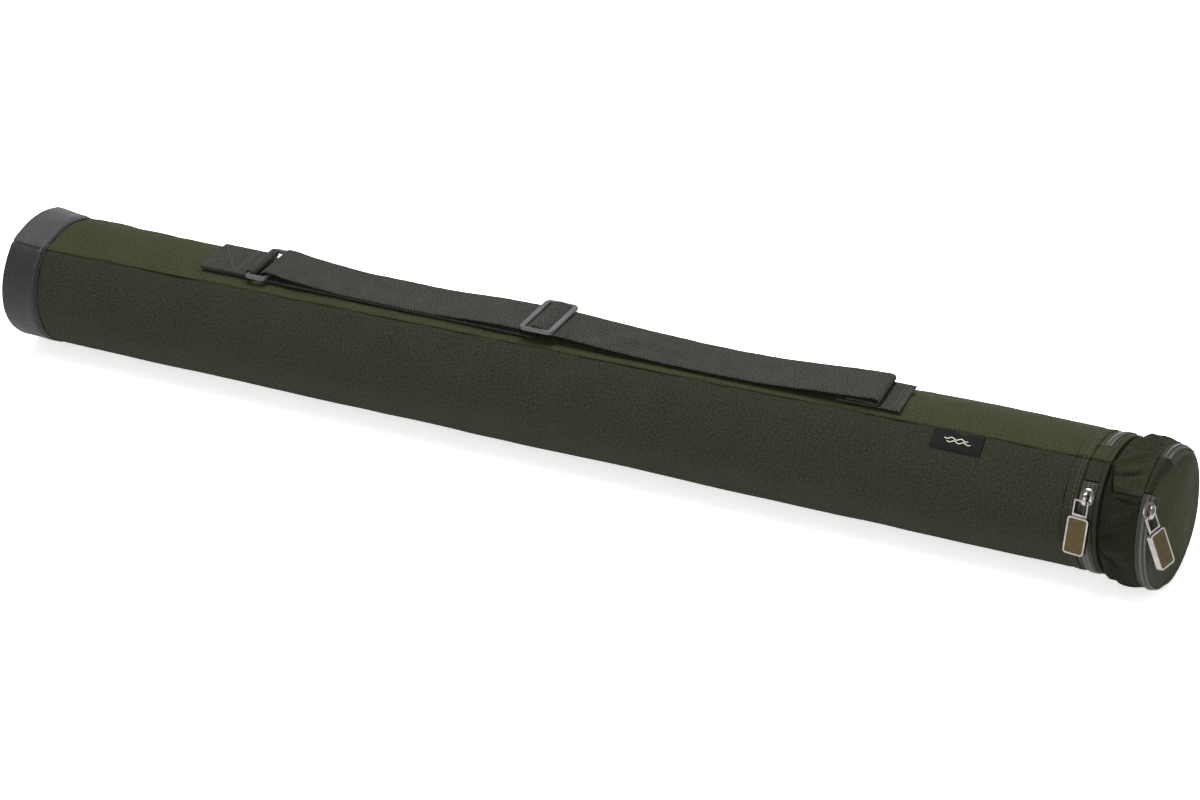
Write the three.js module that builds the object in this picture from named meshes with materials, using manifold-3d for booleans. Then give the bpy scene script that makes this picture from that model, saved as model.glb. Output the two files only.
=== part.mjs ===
// Rod case: a stiff tube in a padded fabric sleeve, with a zipped lid, a zipped end flap and a
// webbing shoulder strap. Millimetres, +Z up. X runs along the case, from its closed base (-X) to
// its zipped end (+X); the front, with the zip pulls and the label, faces -Y. The origin is under
// the middle of the case, on the surface that it lies on.
// Angles round the case are in degrees from the top (+Z), growing towards the front (-Y).

import * as THREE from 'three';
import * as BufferGeometryUtils from 'three/addons/utils/BufferGeometryUtils.js';
import Module from 'manifold-3d';

const wasm = await Module();
wasm.setup();

// ---------------------------------------------------------------- driving dimensions

const LENGTH = 950;             // closed base to zipped end
const RADIUS = 50;              // outside of the padded sleeve
const GAP = 0.3;                // between pieces that touch
const ARC_STEP = 10;            // degrees of arc per facet
const REST_HALF_ANGLE = 6;      // half of the flat that the sleeve's padding rests on

const TUBE_INNER = 42;
const TUBE_OUTER = 44;
const SLEEVE_INNER = TUBE_OUTER + GAP;
const TOP_CROWN = 45.3;         // height of the flattened top panel above the axis, midway
const TOP_HIGH = 46;            // and at its highest, nearer the front seam

const SEAM_FRONT = 30;          // sleeve's two long seams
const SEAM_BACK = -46;
const LID_SEAM_FRONT = 48;      // the lid's own two seams
const LID_SEAM_BACK = -52;

const BASE_BAND = 27;           // grey band round the closed end
const BASE_SKIN = 2;            // thickness of the two end skins
const PIPING = 1.6;
const MOUTH_HEM = 10;

const ZIP_A = { x: 424.5, half: 6.5 };      // zip that opens the lid, and half its width
const ZIP_B = { x: 468, half: 5.5 };        // zip that opens the end flap, at the corner
const COIL_WIDTH = 2.5;
const COIL_GAP = 0.4;           // between the two coils of a zip
const TAPE_INNER = 48;
const TAPE_OUTER = 49.2;
const COIL_OUTER = 50;
const CORNER_STEP = 0.9;        // how far zip B's flap side steps in round the corner
const ZIP_FROM = 44;            // the zips run from here, down the front, round and up the back
const ZIP_TO = 366;
const HINGE_FROM = 8;           // and leave this stretch of fabric as the hinge
const HINGE_TO = 42;
const COLLAR = 3;

const SLIDER_ANGLE = 57;        // where both sliders stand when the zips are shut
const SLIDER_B_LEAN = 42;       // zip B's slider faces the corner, between outwards and +X
const PULL_A_ASIDE = -2;        // it hangs towards the closed end of its bridge's play
const PULL_LENGTH = 39.5;
const PULL_WIDTH = 15.5;
const PULL_THICK = 4;
const PULL_A_TILT = -4;         // lean of zip A's pull along the case, in degrees
const PULL_B_LEAN = 18;         // zip B's pull hangs before the end panel, leaning off it
const PULL_B_TURN = 74;         // and turned from the front towards the end

const WEB = 38;                 // webbing width
const WEB_THICK = 1.5;
const LAYER_1 = TOP_HIGH + GAP;                  // underside of webbing on the sleeve
const LAYER_2 = LAYER_1 + WEB_THICK + GAP;        // underside of webbing on webbing
const LAYER_3 = LAYER_2 + WEB_THICK + GAP;        // underside of what rides on two layers

const TAB_FROM = -311;          // stitched end of the short tab that holds the ring
const TAB_TO = -277;
const RING_BAR = 3.5;
const RING_BAR_HEIGHT = 3.3;
const RING_X = [-267.2, -252.8];                  // centres of the ring's two long bars
const RING_Z = TOP_HIGH + 4.1;
const RING_SLOT = 40;
const STRAP_FREE = [-150, 150];                   // the stretch that lifts off when carried
const STRAP_HUMP = 3.7;          // how far the free stretch rises to its slider
const GLIDE_X = -18.6;
const GLIDE_LENGTH = 28;
const GLIDE_WIDTH = 46;
const GLIDE_THICK = 3;
const FOLD_X = 256;             // the strap's folded and sewn right end
const FOLD_LEG_END = 232;
const PATCH = [222, 271.5];
const LABEL = [302, 340];
const LABEL_ANGLES = [27.5, 43];
const LABEL_LIFT = 0.9;         // keeps its flat facets off the round sleeve

// ---------------------------------------------------------------- worked out from those

const BASE_END = -LENGTH / 2;
const FREE_END = LENGTH / 2;
const BAND_END = BASE_END + BASE_BAND;
const AXIS_Z = RADIUS * Math.cos(THREE.MathUtils.degToRad(REST_HALF_ANGLE));
const SLEEVE_END = ZIP_A.x - ZIP_A.half - GAP;
const LID_START = ZIP_A.x + ZIP_A.half + GAP;
const LID_END = ZIP_B.x - ZIP_B.half - GAP;

// ---------------------------------------------------------------- colours

const OLIVE = { color: 0x3c3f2e, roughness: 0.85, metalness: 0 };
const OLIVE_TOP = { color: 0x4a4e36, roughness: 0.85, metalness: 0 };
const GREY_GRAIN = { color: 0x4c4a50, roughness: 0.6, metalness: 0 };
const WEBBING = { color: 0x484a45, roughness: 0.9, metalness: 0 };
const TAPE = { color: 0x5a5e52, roughness: 0.85, metalness: 0 };
const COIL = { color: 0x33362c, roughness: 0.45, metalness: 0 };
const PLASTIC = { color: 0x2a2c2e, roughness: 0.5, metalness: 0 };
const NICKEL = { color: 0xb8b9ba, roughness: 0.3, metalness: 1 };
const INLAY = { color: 0x6e5c3a, roughness: 0.5, metalness: 0.3 };
const LABEL_BLACK = { color: 0x141416, roughness: 0.8, metalness: 0 };
const TUBE_GREY = { color: 0x6f7276, roughness: 0.5, metalness: 0 };

// ---------------------------------------------------------------- groups

const rodCase = new THREE.Group();
rodCase.name = 'rod_case';
const onAxis = new THREE.Group();       // everything is placed from the tube's axis
onAxis.position.z = AXIS_Z;
rodCase.add(onAxis);

function add(parent, name, geometry, look) {
  const mesh = new THREE.Mesh(geometry, new THREE.MeshStandardMaterial(look));
  mesh.name = name;
  parent.add(mesh);
  return mesh;
}

// ---------------------------------------------------------------- booleans

function toSolid(geometry) {
  const bare = geometry.index ? geometry.toNonIndexed() : geometry.clone();
  bare.deleteAttribute('normal');
  bare.deleteAttribute('uv');
  const merged = BufferGeometryUtils.mergeVertices(bare, 1e-4);
  return new wasm.Manifold(new wasm.Mesh({
    numProp: 3,
    vertProperties: new Float32Array(merged.attributes.position.array),
    triVerts: new Uint32Array(merged.index.array),
  }));
}

function toGeometry(solid) {
  const mesh = solid.getMesh();
  const geometry = new THREE.BufferGeometry();
  geometry.setAttribute('position', new THREE.BufferAttribute(mesh.vertProperties, 3));
  geometry.setIndex(new THREE.BufferAttribute(mesh.triVerts, 1));
  geometry.computeVertexNormals();
  return geometry;
}

function join(...geometries) {
  return toGeometry(geometries.map(toSolid).reduce((whole, solid) => whole.add(solid)));
}

function cut(geometry, tool) {
  return toGeometry(toSolid(geometry).subtract(toSolid(tool)));
}

// ---------------------------------------------------------------- outlines and extrusions

const ALONG_X = new THREE.Matrix4().makeBasis(
  new THREE.Vector3(0, 1, 0), new THREE.Vector3(0, 0, 1), new THREE.Vector3(1, 0, 0));
const ALONG_Y = new THREE.Matrix4().makeBasis(
  new THREE.Vector3(1, 0, 0), new THREE.Vector3(0, 0, 1), new THREE.Vector3(0, -1, 0));

function polar(radius, degrees) {
  const angle = THREE.MathUtils.degToRad(degrees);
  return new THREE.Vector2(-radius * Math.sin(angle), radius * Math.cos(angle));
}

// Angles from one to another in even facets, with one facet level across the bottom.
function facetAngles(from, to) {
  const bottom = [180 - REST_HALF_ANGLE, 180 + REST_HALF_ANGLE];
  const stops = from < bottom[0] && to > bottom[1] ? [from, ...bottom, to] : [from, to];
  const angles = [from];
  for (let i = 1; i < stops.length; i += 1) {
    const span = stops[i] - stops[i - 1];
    const level = stops.length > 2 && i === 2;
    const count = level ? 1 : Math.max(1, Math.round(span / ARC_STEP));
    for (let k = 1; k <= count; k += 1) angles.push(stops[i - 1] + (span * k) / count);
  }
  return angles;
}

function arc(radius, from, to) {
  return facetAngles(from, to).map((angle) => polar(radius, angle));
}

// A curve across the top from one seam to the other, as high as the crown midway.
function crownedTop(radius, crown, front, back) {
  const start = polar(radius, back);
  const end = polar(radius, front);
  const lift = new THREE.Vector2(0, 2 * crown).sub(start.clone().add(end).multiplyScalar(0.5));
  return new THREE.QuadraticBezierCurve(start, lift, end).getPoints(8);
}

function outline(points, holes = []) {
  const shape = new THREE.Shape(points);
  holes.forEach((hole) => shape.holes.push(new THREE.Path(hole)));
  return shape;
}

function extrudeX(points, from, to, holes = []) {
  const geometry = new THREE.ExtrudeGeometry(outline(points, holes),
    { depth: to - from, bevelEnabled: false });
  return geometry.applyMatrix4(ALONG_X).translate(from, 0, 0);
}

function extrudeY(points, width, holes = []) {
  const geometry = new THREE.ExtrudeGeometry(outline(points, holes),
    { depth: width, bevelEnabled: false });
  return geometry.applyMatrix4(ALONG_Y).translate(0, width / 2, 0);
}

// A curved wall between two radii and two angles.
function wall(inner, outer, from, to, start, end) {
  return extrudeX([...arc(outer, from, to), ...arc(inner, from, to).reverse()], start, end);
}

// A whole ring: round below, crowned across the top between two angles.
function crownedRing(inner, outer, crown, front, back, start, end) {
  const below = arc(outer, front, back + 360);
  const above = crownedTop(outer, crown, front, back).slice(1, -1);
  return extrudeX([...below, ...above], start, end, [arc(inner, 0, 360).slice(0, -1)]);
}

// The crowned top on its own, from seam to seam, down to the inner radius.
function topPanel(inner, outer, crown, front, back, start, end) {
  const seamGap = THREE.MathUtils.radToDeg(GAP / outer);
  const above = crownedTop(outer, crown, front - seamGap, back + seamGap);
  return extrudeX([...above, ...arc(inner, back + seamGap, front - seamGap).reverse()], start, end);
}

function disc(radius, start, end) {
  return extrudeX(arc(radius, 0, 360).slice(0, -1), start, end);
}

function roundedRectangle(length, width, radius, centreX = 0, centreY = 0) {
  const shape = new THREE.Path();
  const x = length / 2 - radius;
  const y = width / 2 - radius;
  shape.absarc(centreX + x, centreY + y, radius, 0, Math.PI / 2);
  shape.absarc(centreX - x, centreY + y, radius, Math.PI / 2, Math.PI);
  shape.absarc(centreX - x, centreY - y, radius, Math.PI, 1.5 * Math.PI);
  shape.absarc(centreX + x, centreY - y, radius, 1.5 * Math.PI, 2 * Math.PI);
  const points = shape.getPoints(4);
  return points.filter((point, i) => i === 0 || point.distanceTo(points[i - 1]) > 1e-6);
}

function block(x0, x1, y0, y1, z0, z1) {
  return new THREE.BoxGeometry(x1 - x0, y1 - y0, z1 - z0)
    .translate((x0 + x1) / 2, (y0 + y1) / 2, (z0 + z1) / 2);
}

// Webbing seen edge on: the outline of a strip of even thickness along a line in X and Z.
function webbingAlong(points) {
  const sides = [[], []];
  points.forEach((point, i) => {
    const before = points[Math.max(0, i - 1)];
    const after = points[Math.min(points.length - 1, i + 1)];
    const along = after.clone().sub(before).normalize();
    const across = new THREE.Vector2(-along.y, along.x).multiplyScalar(WEB_THICK / 2);
    sides[0].push(point.clone().add(across));
    sides[1].unshift(point.clone().sub(across));
  });
  return extrudeY([...sides[0], ...sides[1]], WEB);
}

// ---------------------------------------------------------------- stiff tube

function stiffTube() {
  const start = BASE_END + BASE_SKIN + GAP;
  const lining = 6;
  add(onAxis, 'tube_base_disc', disc(TUBE_OUTER, start, start + lining), TUBE_GREY);
  const bore = arc(TUBE_INNER, 0, 360).slice(0, -1);
  const skin = arc(TUBE_OUTER, 0, 360).slice(0, -1);
  add(onAxis, 'inner_tube', extrudeX(skin, start + lining + GAP, SLEEVE_END, [bore]), TUBE_GREY);
}

// ---------------------------------------------------------------- sleeve and base

function sleeve() {
  const start = BAND_END + PIPING / 2 + GAP;
  const end = SLEEVE_END - MOUTH_HEM - GAP;
  add(onAxis, 'sleeve_main_panel',
    wall(SLEEVE_INNER, RADIUS, SEAM_FRONT, SEAM_BACK + 360, start, end), OLIVE);
  add(onAxis, 'sleeve_top_panel',
    topPanel(SLEEVE_INNER, RADIUS, TOP_CROWN, SEAM_FRONT, SEAM_BACK, start, end), OLIVE_TOP);
  add(onAxis, 'mouth_hem',
    crownedRing(SLEEVE_INNER, RADIUS, TOP_CROWN, SEAM_FRONT, SEAM_BACK, end + GAP, SLEEVE_END), OLIVE);
  add(onAxis, 'side_label',
    wall(RADIUS + LABEL_LIFT, RADIUS + LABEL_LIFT + 1, ...LABEL_ANGLES, ...LABEL), LABEL_BLACK);
}

function base() {
  const start = BASE_END + BASE_SKIN + GAP;
  const end = BAND_END - PIPING / 2 - GAP;
  add(onAxis, 'base_end_panel', disc(RADIUS - GAP, BASE_END, BASE_END + BASE_SKIN), GREY_GRAIN);
  add(onAxis, 'base_band_lower',
    wall(SLEEVE_INNER, RADIUS, SEAM_FRONT, SEAM_BACK + 360, start, end), GREY_GRAIN);
  add(onAxis, 'base_band_top',
    topPanel(SLEEVE_INNER, RADIUS, TOP_CROWN, SEAM_FRONT, SEAM_BACK, start, end), GREY_GRAIN);
  add(onAxis, 'base_piping',
    crownedRing(SLEEVE_INNER, RADIUS, TOP_CROWN, SEAM_FRONT, SEAM_BACK,
      BAND_END - PIPING / 2, BAND_END + PIPING / 2), GREY_GRAIN);
}

// ---------------------------------------------------------------- zips

// The two tapes and two coils of a zip, and the fabric hinge that closes its ring. Each of the
// far side's strips may lie a step further in than the one before it.
function zip(name, { x, half }, nearSide, farSide, hingeName, step) {
  const coilEdge = COIL_GAP / 2 + COIL_WIDTH;
  const strip = (part, outer, from, to, look) =>
    add(onAxis, `${name}_${part}`, wall(TAPE_INNER - 3 * step, outer, ZIP_FROM, ZIP_TO, from, to), look);
  strip(`${nearSide}_tape`, TAPE_OUTER, x - half, x - coilEdge - GAP, TAPE);
  strip(`${nearSide}_coil`, COIL_OUTER - step / 2, x - coilEdge, x - COIL_GAP / 2, COIL);
  strip(`${farSide}_coil`, COIL_OUTER - step, x + COIL_GAP / 2, x + coilEdge, COIL);
  strip(`${farSide}_tape`, TAPE_OUTER - 3 * step, x + coilEdge + GAP, x + half, TAPE);
  add(onAxis, hingeName,
    wall(TAPE_INNER - 3 * step, TAPE_OUTER - step, HINGE_FROM, HINGE_TO, x - half, x + half), OLIVE);
}

// ---------------------------------------------------------------- lid and end flap

function lid() {
  const collarEnd = LID_START + COLLAR;
  add(onAxis, 'lid_collar',
    crownedRing(SLEEVE_INNER, RADIUS, TOP_CROWN, SEAM_FRONT, SEAM_BACK, LID_START, collarEnd), OLIVE);
  const inner = RADIUS - 3;
  const outer = RADIUS - GAP;
  add(onAxis, 'lid_gusset_main',
    wall(inner, outer, LID_SEAM_FRONT, LID_SEAM_BACK + 360, collarEnd + GAP, LID_END), OLIVE);
  const seamGap = THREE.MathUtils.radToDeg(GAP / outer);
  add(onAxis, 'lid_gusset_top',
    wall(inner, outer, LID_SEAM_BACK + seamGap, LID_SEAM_FRONT - seamGap, collarEnd + GAP, LID_END),
    OLIVE_TOP);
}

function endFlap() {
  const panelStart = FREE_END - BASE_SKIN;
  const stiffenerStart = ZIP_B.x + COIL_GAP / 2 + COIL_WIDTH;
  const radius = TAPE_INNER - 3 * CORNER_STEP - GAP;
  add(onAxis, 'end_panel', disc(radius, panelStart, FREE_END), OLIVE);
  add(onAxis, 'end_panel_stiffener', disc(radius, stiffenerStart, panelStart - GAP), TUBE_GREY);
}

// ---------------------------------------------------------------- sliders and pulls

// An oval top plate that clears the coils, a side flange, and a crown whose window holds the
// pull's eye. Its own frame has +X across the zip, -Y along its run and +Z off the coils' tops.
const SLIDER = {
  openSide: 3.6, halfRun: 6.3, thick: 1, crownHalf: 1, crownTop: 6,
  crownBack: -3.6, crownFront: 5.7, eyeAt: 3.2, pivot: 2.9, window: 4.2,
};

// openSide is -1 or 1: the side whose tape has to leave the slider when the zip's part swings.
function slider(name, ringX, ringRadius, lean, wide, under, openSide, flangeDrop) {
  const s = SLIDER;
  const top = under + s.thick;
  const oval = new THREE.Path().absellipse(0, 0, wide, s.halfRun, 0, 2 * Math.PI).getPoints(20);
  const plate = new THREE.ExtrudeGeometry(outline(oval.slice(0, -1)),
    { depth: s.thick, bevelEnabled: false }).translate(0, 0, under);
  const spare = block(s.openSide, wide + 1, -s.halfRun, s.halfRun, under - 1, top + 1);
  const trimmed = cut(plate, openSide > 0 ? spare : spare.rotateZ(Math.PI));
  const flangeX = -openSide * (wide - 1.2);
  const flange = block(flangeX - 0.5, flangeX + 0.5, -3, 3, under - flangeDrop, under + 0.2);
  const crown = [
    [s.crownBack, -0.2], [s.crownBack + 0.6, s.crownTop - 2], [s.crownBack + 2.6, s.crownTop],
    [s.crownFront - 2, s.crownTop], [s.crownFront, s.crownTop - 1.6], [s.crownFront, 1.2],
    [s.crownFront - 1.2, -0.2],
  ].map(([along, up]) => new THREE.Vector2(along, top + up));
  const window = roundedRectangle(s.window, s.window, 1, s.eyeAt, top + s.pivot);
  const alongRun = new THREE.Matrix4().makeBasis(
    new THREE.Vector3(0, -1, 0), new THREE.Vector3(0, 0, 1), new THREE.Vector3(-1, 0, 0));
  const crownSolid = new THREE.ExtrudeGeometry(outline(crown, [window]),
    { depth: 2 * s.crownHalf, bevelEnabled: false })
    .applyMatrix4(alongRun).translate(s.crownHalf, 0, 0);
  const place = new THREE.Group();
  const ring = polar(ringRadius, SLIDER_ANGLE);
  place.position.set(ringX, ring.x, ring.y);
  place.rotation.set(THREE.MathUtils.degToRad(SLIDER_ANGLE), THREE.MathUtils.degToRad(lean), 0);
  onAxis.add(place);
  add(place, name, join(trimmed, flange, crownSolid), NICKEL);
  place.updateMatrix();
  return new THREE.Vector3(0, -s.eyeAt, top + s.pivot).applyMatrix4(place.matrix);
}

// A flat plate with a slotted eye at its top and a tray for the inlay. Its own frame has its eye
// at the origin, its length along -Y and its face towards +Z.
function pull(name, pivot, turn) {
  const eyeHalf = 5.4;
  const eyeThick = 1.2;
  const slotHalf = 4.4;
  const plateStart = 12;
  const plateMiddle = -(plateStart + PULL_LENGTH) / 2;
  const plateLength = PULL_LENGTH - plateStart;
  const eye = roundedRectangle(2 * eyeHalf, plateStart + 1.6, 1.2, 0, 0.6 - (plateStart + 1.6) / 2);
  const slot = roundedRectangle(2 * slotHalf, 9.4, 0.8, 0, -5.3);
  const eyeSolid = new THREE.ExtrudeGeometry(outline(eye, [slot]),
    { depth: eyeThick, bevelEnabled: false }).translate(0, 0, -eyeThick / 2);
  const plate = roundedRectangle(PULL_WIDTH, plateLength, 2.5, 0, plateMiddle);
  const plateSolid = new THREE.ExtrudeGeometry(outline(plate),
    { depth: PULL_THICK, bevelEnabled: false }).translate(0, 0, -PULL_THICK / 2);
  const rim = 1.2;
  const trayDepth = 1.1;
  const tray = roundedRectangle(PULL_WIDTH - 2 * rim, plateLength - 2 * rim, 1.5, 0, plateMiddle);
  const traySolid = new THREE.ExtrudeGeometry(outline(tray), { depth: 2, bevelEnabled: false })
    .translate(0, 0, PULL_THICK / 2 - trayDepth);
  const inlay = roundedRectangle(
    PULL_WIDTH - 2 * (rim + GAP), plateLength - 2 * (rim + GAP), 1.3, 0, plateMiddle);
  const inlaySolid = new THREE.ExtrudeGeometry(outline(inlay),
    { depth: trayDepth - GAP, bevelEnabled: false })
    .translate(0, 0, PULL_THICK / 2 - trayDepth + GAP);
  const hanging = new THREE.Group();
  hanging.position.copy(pivot);
  hanging.quaternion.setFromRotationMatrix(turn);
  onAxis.add(hanging);
  add(hanging, `${name}_frame`, cut(join(eyeSolid, plateSolid), traySolid), NICKEL);
  add(hanging, `${name}_inlay`, inlaySolid, INLAY);
}

function turned(axis, degrees) {
  return new THREE.Matrix4()[`makeRotation${axis}`](THREE.MathUtils.degToRad(degrees));
}

// Zip A's pull lies against the case: its flat back meets the round sleeve part way down.
function sliderAndPullA() {
  const pivot = slider('zip_a_slider', ZIP_A.x, COIL_OUTER, 0, 5.3, 1.5, 1, 1.6);
  const pivotRadius = Math.hypot(pivot.y, pivot.z);
  const pivotAngle = THREE.MathUtils.radToDeg(Math.atan2(-pivot.y, pivot.z));
  const middle = RADIUS + 1.1 + PULL_THICK / 2;
  const slope = THREE.MathUtils.radToDeg(Math.acos(middle / pivotRadius));
  pivot.x += PULL_A_ASIDE;
  pull('zip_a_pull', pivot, turned('X', pivotAngle + slope).multiply(turned('Z', PULL_A_TILT)));
}

// Zip B's pull hangs before the end panel, so it is plumb but for its lean, and faces the end.
function sliderAndPullB() {
  const pivot = slider('zip_b_slider', ZIP_B.x, COIL_OUTER - CORNER_STEP, SLIDER_B_LEAN, 4.6,
    2.2, -1, 1);
  pull('zip_b_pull', pivot,
    turned('Y', -PULL_B_LEAN).multiply(turned('Z', PULL_B_TURN)).multiply(turned('X', 90)));
}

// ---------------------------------------------------------------- shoulder strap

function ringAndTab() {
  const length = RING_X[1] - RING_X[0] + RING_BAR;
  const chamfer = 0.8;
  const middle = (RING_X[0] + RING_X[1]) / 2;
  const outer = roundedRectangle(
    length - 2 * chamfer, RING_SLOT + 2 * (RING_BAR - chamfer), 2.2, middle, 0);
  const slot = roundedRectangle(
    length - 2 * (RING_BAR - chamfer), RING_SLOT + 2 * chamfer, 1.6, middle, 0);
  const ring = new THREE.ExtrudeGeometry(outline(outer, [slot]), {
    depth: RING_BAR_HEIGHT - 2 * chamfer,
    bevelThickness: chamfer,
    bevelSize: chamfer,
    bevelSegments: 1,
  }).translate(0, 0, RING_Z - RING_BAR_HEIGHT / 2 + chamfer);
  add(onAxis, 'strap_ring', ring, PLASTIC);

  const hole = 2.25;
  const turn = hole + WEB_THICK;
  const round = [];
  for (let angle = -90; angle <= 90; angle += 22.5) {
    const a = THREE.MathUtils.degToRad(angle);
    round.push(new THREE.Vector2(RING_X[0] + turn * Math.cos(a), RING_Z + turn * Math.sin(a)));
  }
  const bottom = RING_Z - turn;
  const stitchedTop = bottom + 2 * WEB_THICK;
  const points = [
    new THREE.Vector2(TAB_FROM, bottom), ...round,
    new THREE.Vector2(TAB_TO, stitchedTop), new THREE.Vector2(TAB_FROM, stitchedTop),
  ];
  const bore = new THREE.Path().absarc(RING_X[0], RING_Z, hole, 0, 2 * Math.PI).getPoints(16).slice(0, -1);
  add(onAxis, 'anchor_tab', extrudeY(points, WEB, [bore]), WEBBING);
}

function strap() {
  const half = WEB_THICK / 2;
  const crest = LAYER_2 + half + STRAP_HUMP;
  const slab = (from, to, under) => block(from, to, -WEB / 2, WEB / 2, under, under + WEB_THICK);

  // Left run: from the free stretch to the ring, round its bar and back underneath.
  const turnTop = RING_Z + 4.6;
  const turnBottom = LAYER_1 + half;
  const turnRadius = (turnTop - turnBottom) / 2;
  const over = new THREE.CatmullRomCurve3([
    new THREE.Vector3(STRAP_FREE[0], LAYER_2 + half, 0),
    new THREE.Vector3(STRAP_FREE[0] - 40, LAYER_2 + half, 0),
    new THREE.Vector3(RING_X[1] + 22, turnTop - 2.4, 0),
    new THREE.Vector3(RING_X[1], turnTop, 0),
  ]).getPoints(12).map((point) => new THREE.Vector2(point.x, point.y));
  const round = [];
  for (let angle = 112.5; angle <= 247.5; angle += 22.5) {
    const a = THREE.MathUtils.degToRad(angle);
    round.push(new THREE.Vector2(
      RING_X[1] + turnRadius * Math.cos(a), (turnTop + turnBottom) / 2 + turnRadius * Math.sin(a)));
  }
  const back = [new THREE.Vector2(RING_X[1], turnBottom), new THREE.Vector2(STRAP_FREE[0], turnBottom)];
  add(onAxis, 'strap_left_run', webbingAlong([...over, ...round, ...back]), WEBBING);

  add(onAxis, 'strap_return', slab(STRAP_FREE[0] + GAP, GLIDE_X - 3, LAYER_1), WEBBING);
  const rise = [
    [STRAP_FREE[0] + GAP, 0], [-110, 0.16], [-70, 0.7], [-40, 0.95], [GLIDE_X, 1], [10, 0.86],
    [50, 0.32], [90, 0], [STRAP_FREE[1], 0],
  ];
  const free = new THREE.CatmullRomCurve3(
    rise.map(([x, share]) => new THREE.Vector3(x, LAYER_2 + half + share * STRAP_HUMP, 0)),
  ).getPoints(24).map((point) => new THREE.Vector2(point.x, Math.min(point.y, crest)));
  add(onAxis, 'strap_main', webbingAlong(free), WEBBING);

  // Right run: down to the folded end, which is sewn to its patch.
  const foldRadius = 2.1;
  const foldCentre = new THREE.Vector2(FOLD_X - foldRadius - half, LAYER_2 + half + foldRadius);
  const down = new THREE.CatmullRomCurve3([
    new THREE.Vector3(STRAP_FREE[1] + GAP, LAYER_2 + half, 0),
    new THREE.Vector3(STRAP_FREE[1] + 40, LAYER_2 + half, 0),
    new THREE.Vector3(FOLD_LEG_END, LAYER_3 + half + 0.8, 0),
    new THREE.Vector3(foldCentre.x, foldCentre.y + foldRadius, 0),
  ]).getPoints(12).map((point) => new THREE.Vector2(point.x, point.y));
  const fold = [];
  for (let angle = 67.5; angle >= -67.5; angle -= 22.5) {
    const a = THREE.MathUtils.degToRad(angle);
    fold.push(new THREE.Vector2(
      foldCentre.x + foldRadius * Math.cos(a), foldCentre.y + foldRadius * Math.sin(a)));
  }
  const leg = [
    new THREE.Vector2(foldCentre.x, LAYER_2 + half), new THREE.Vector2(FOLD_LEG_END, LAYER_2 + half)];
  add(onAxis, 'strap_right_run', webbingAlong([...down, ...fold, ...leg]), WEBBING);
  add(onAxis, 'anchor_patch', slab(...PATCH, LAYER_1), WEBBING);
}

function triGlide() {
  const bar = 4;
  const window = 7.5;
  const chamfer = 0.7;
  const offset = (bar + window) / 2;
  const under = LAYER_3 + STRAP_HUMP;
  const outer = roundedRectangle(GLIDE_LENGTH - 2 * chamfer, GLIDE_WIDTH - 2 * chamfer, 4, GLIDE_X, 0);
  const slots = [-offset, offset].map((x) => roundedRectangle(
    window + 2 * chamfer, RING_SLOT + 2 * chamfer, 1.4, GLIDE_X + x, 0));
  const frame = new THREE.ExtrudeGeometry(outline(outer, slots), {
    depth: GLIDE_THICK - 2 * chamfer,
    bevelThickness: chamfer,
    bevelSize: chamfer,
    bevelSegments: 1,
  }).translate(0, 0, under + chamfer);
  add(onAxis, 'tri_glide', frame, PLASTIC);
  const crest = under + GLIDE_THICK + GAP + WEB_THICK / 2;
  const over = [[-7, 1.4 + under], [-3.6, crest], [3.6, crest], [7, 1.4 + under]]
    .map(([x, z]) => new THREE.Vector2(GLIDE_X + x, z));
  add(onAxis, 'strap_bar_wrap', webbingAlong(over), WEBBING);
}

// ---------------------------------------------------------------- the whole

stiffTube();
sleeve();
base();
zip('zip_a', ZIP_A, 'case', 'lid', 'lid_hinge_fabric', 0);
lid();
zip('zip_b', ZIP_B, 'lid', 'flap', 'flap_hinge_fabric', CORNER_STEP);
endFlap();
sliderAndPullA();
sliderAndPullB();
ringAndTab();
strap();
triGlide();

export default rodCase;
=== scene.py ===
"""The looks of the rod case: padded olive sleeve, leathercloth base, zipped lid and end flap,
webbing strap. Metres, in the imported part's own frame: X along the case, Z up, front at -Y.
Angles round the case (theta) are in degrees, from the top towards the front."""

import math

import bmesh
import bpy
import numpy as np
from mathutils import Matrix, Vector, noise


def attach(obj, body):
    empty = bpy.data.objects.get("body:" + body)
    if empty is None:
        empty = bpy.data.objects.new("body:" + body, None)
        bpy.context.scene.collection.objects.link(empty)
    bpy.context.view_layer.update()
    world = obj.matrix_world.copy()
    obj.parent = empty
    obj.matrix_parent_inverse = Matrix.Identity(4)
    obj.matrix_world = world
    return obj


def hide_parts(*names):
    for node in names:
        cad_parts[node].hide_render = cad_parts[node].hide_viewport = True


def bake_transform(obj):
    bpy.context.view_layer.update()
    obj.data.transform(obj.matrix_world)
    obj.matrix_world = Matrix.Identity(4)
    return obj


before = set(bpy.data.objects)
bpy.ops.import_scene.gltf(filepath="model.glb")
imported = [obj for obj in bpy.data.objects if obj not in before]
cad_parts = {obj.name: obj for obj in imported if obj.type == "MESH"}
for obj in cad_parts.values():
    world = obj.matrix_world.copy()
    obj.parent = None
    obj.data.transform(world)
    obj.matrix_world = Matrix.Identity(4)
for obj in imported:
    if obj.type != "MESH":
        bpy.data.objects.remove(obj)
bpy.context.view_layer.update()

SCENE = bpy.context.scene

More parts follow.
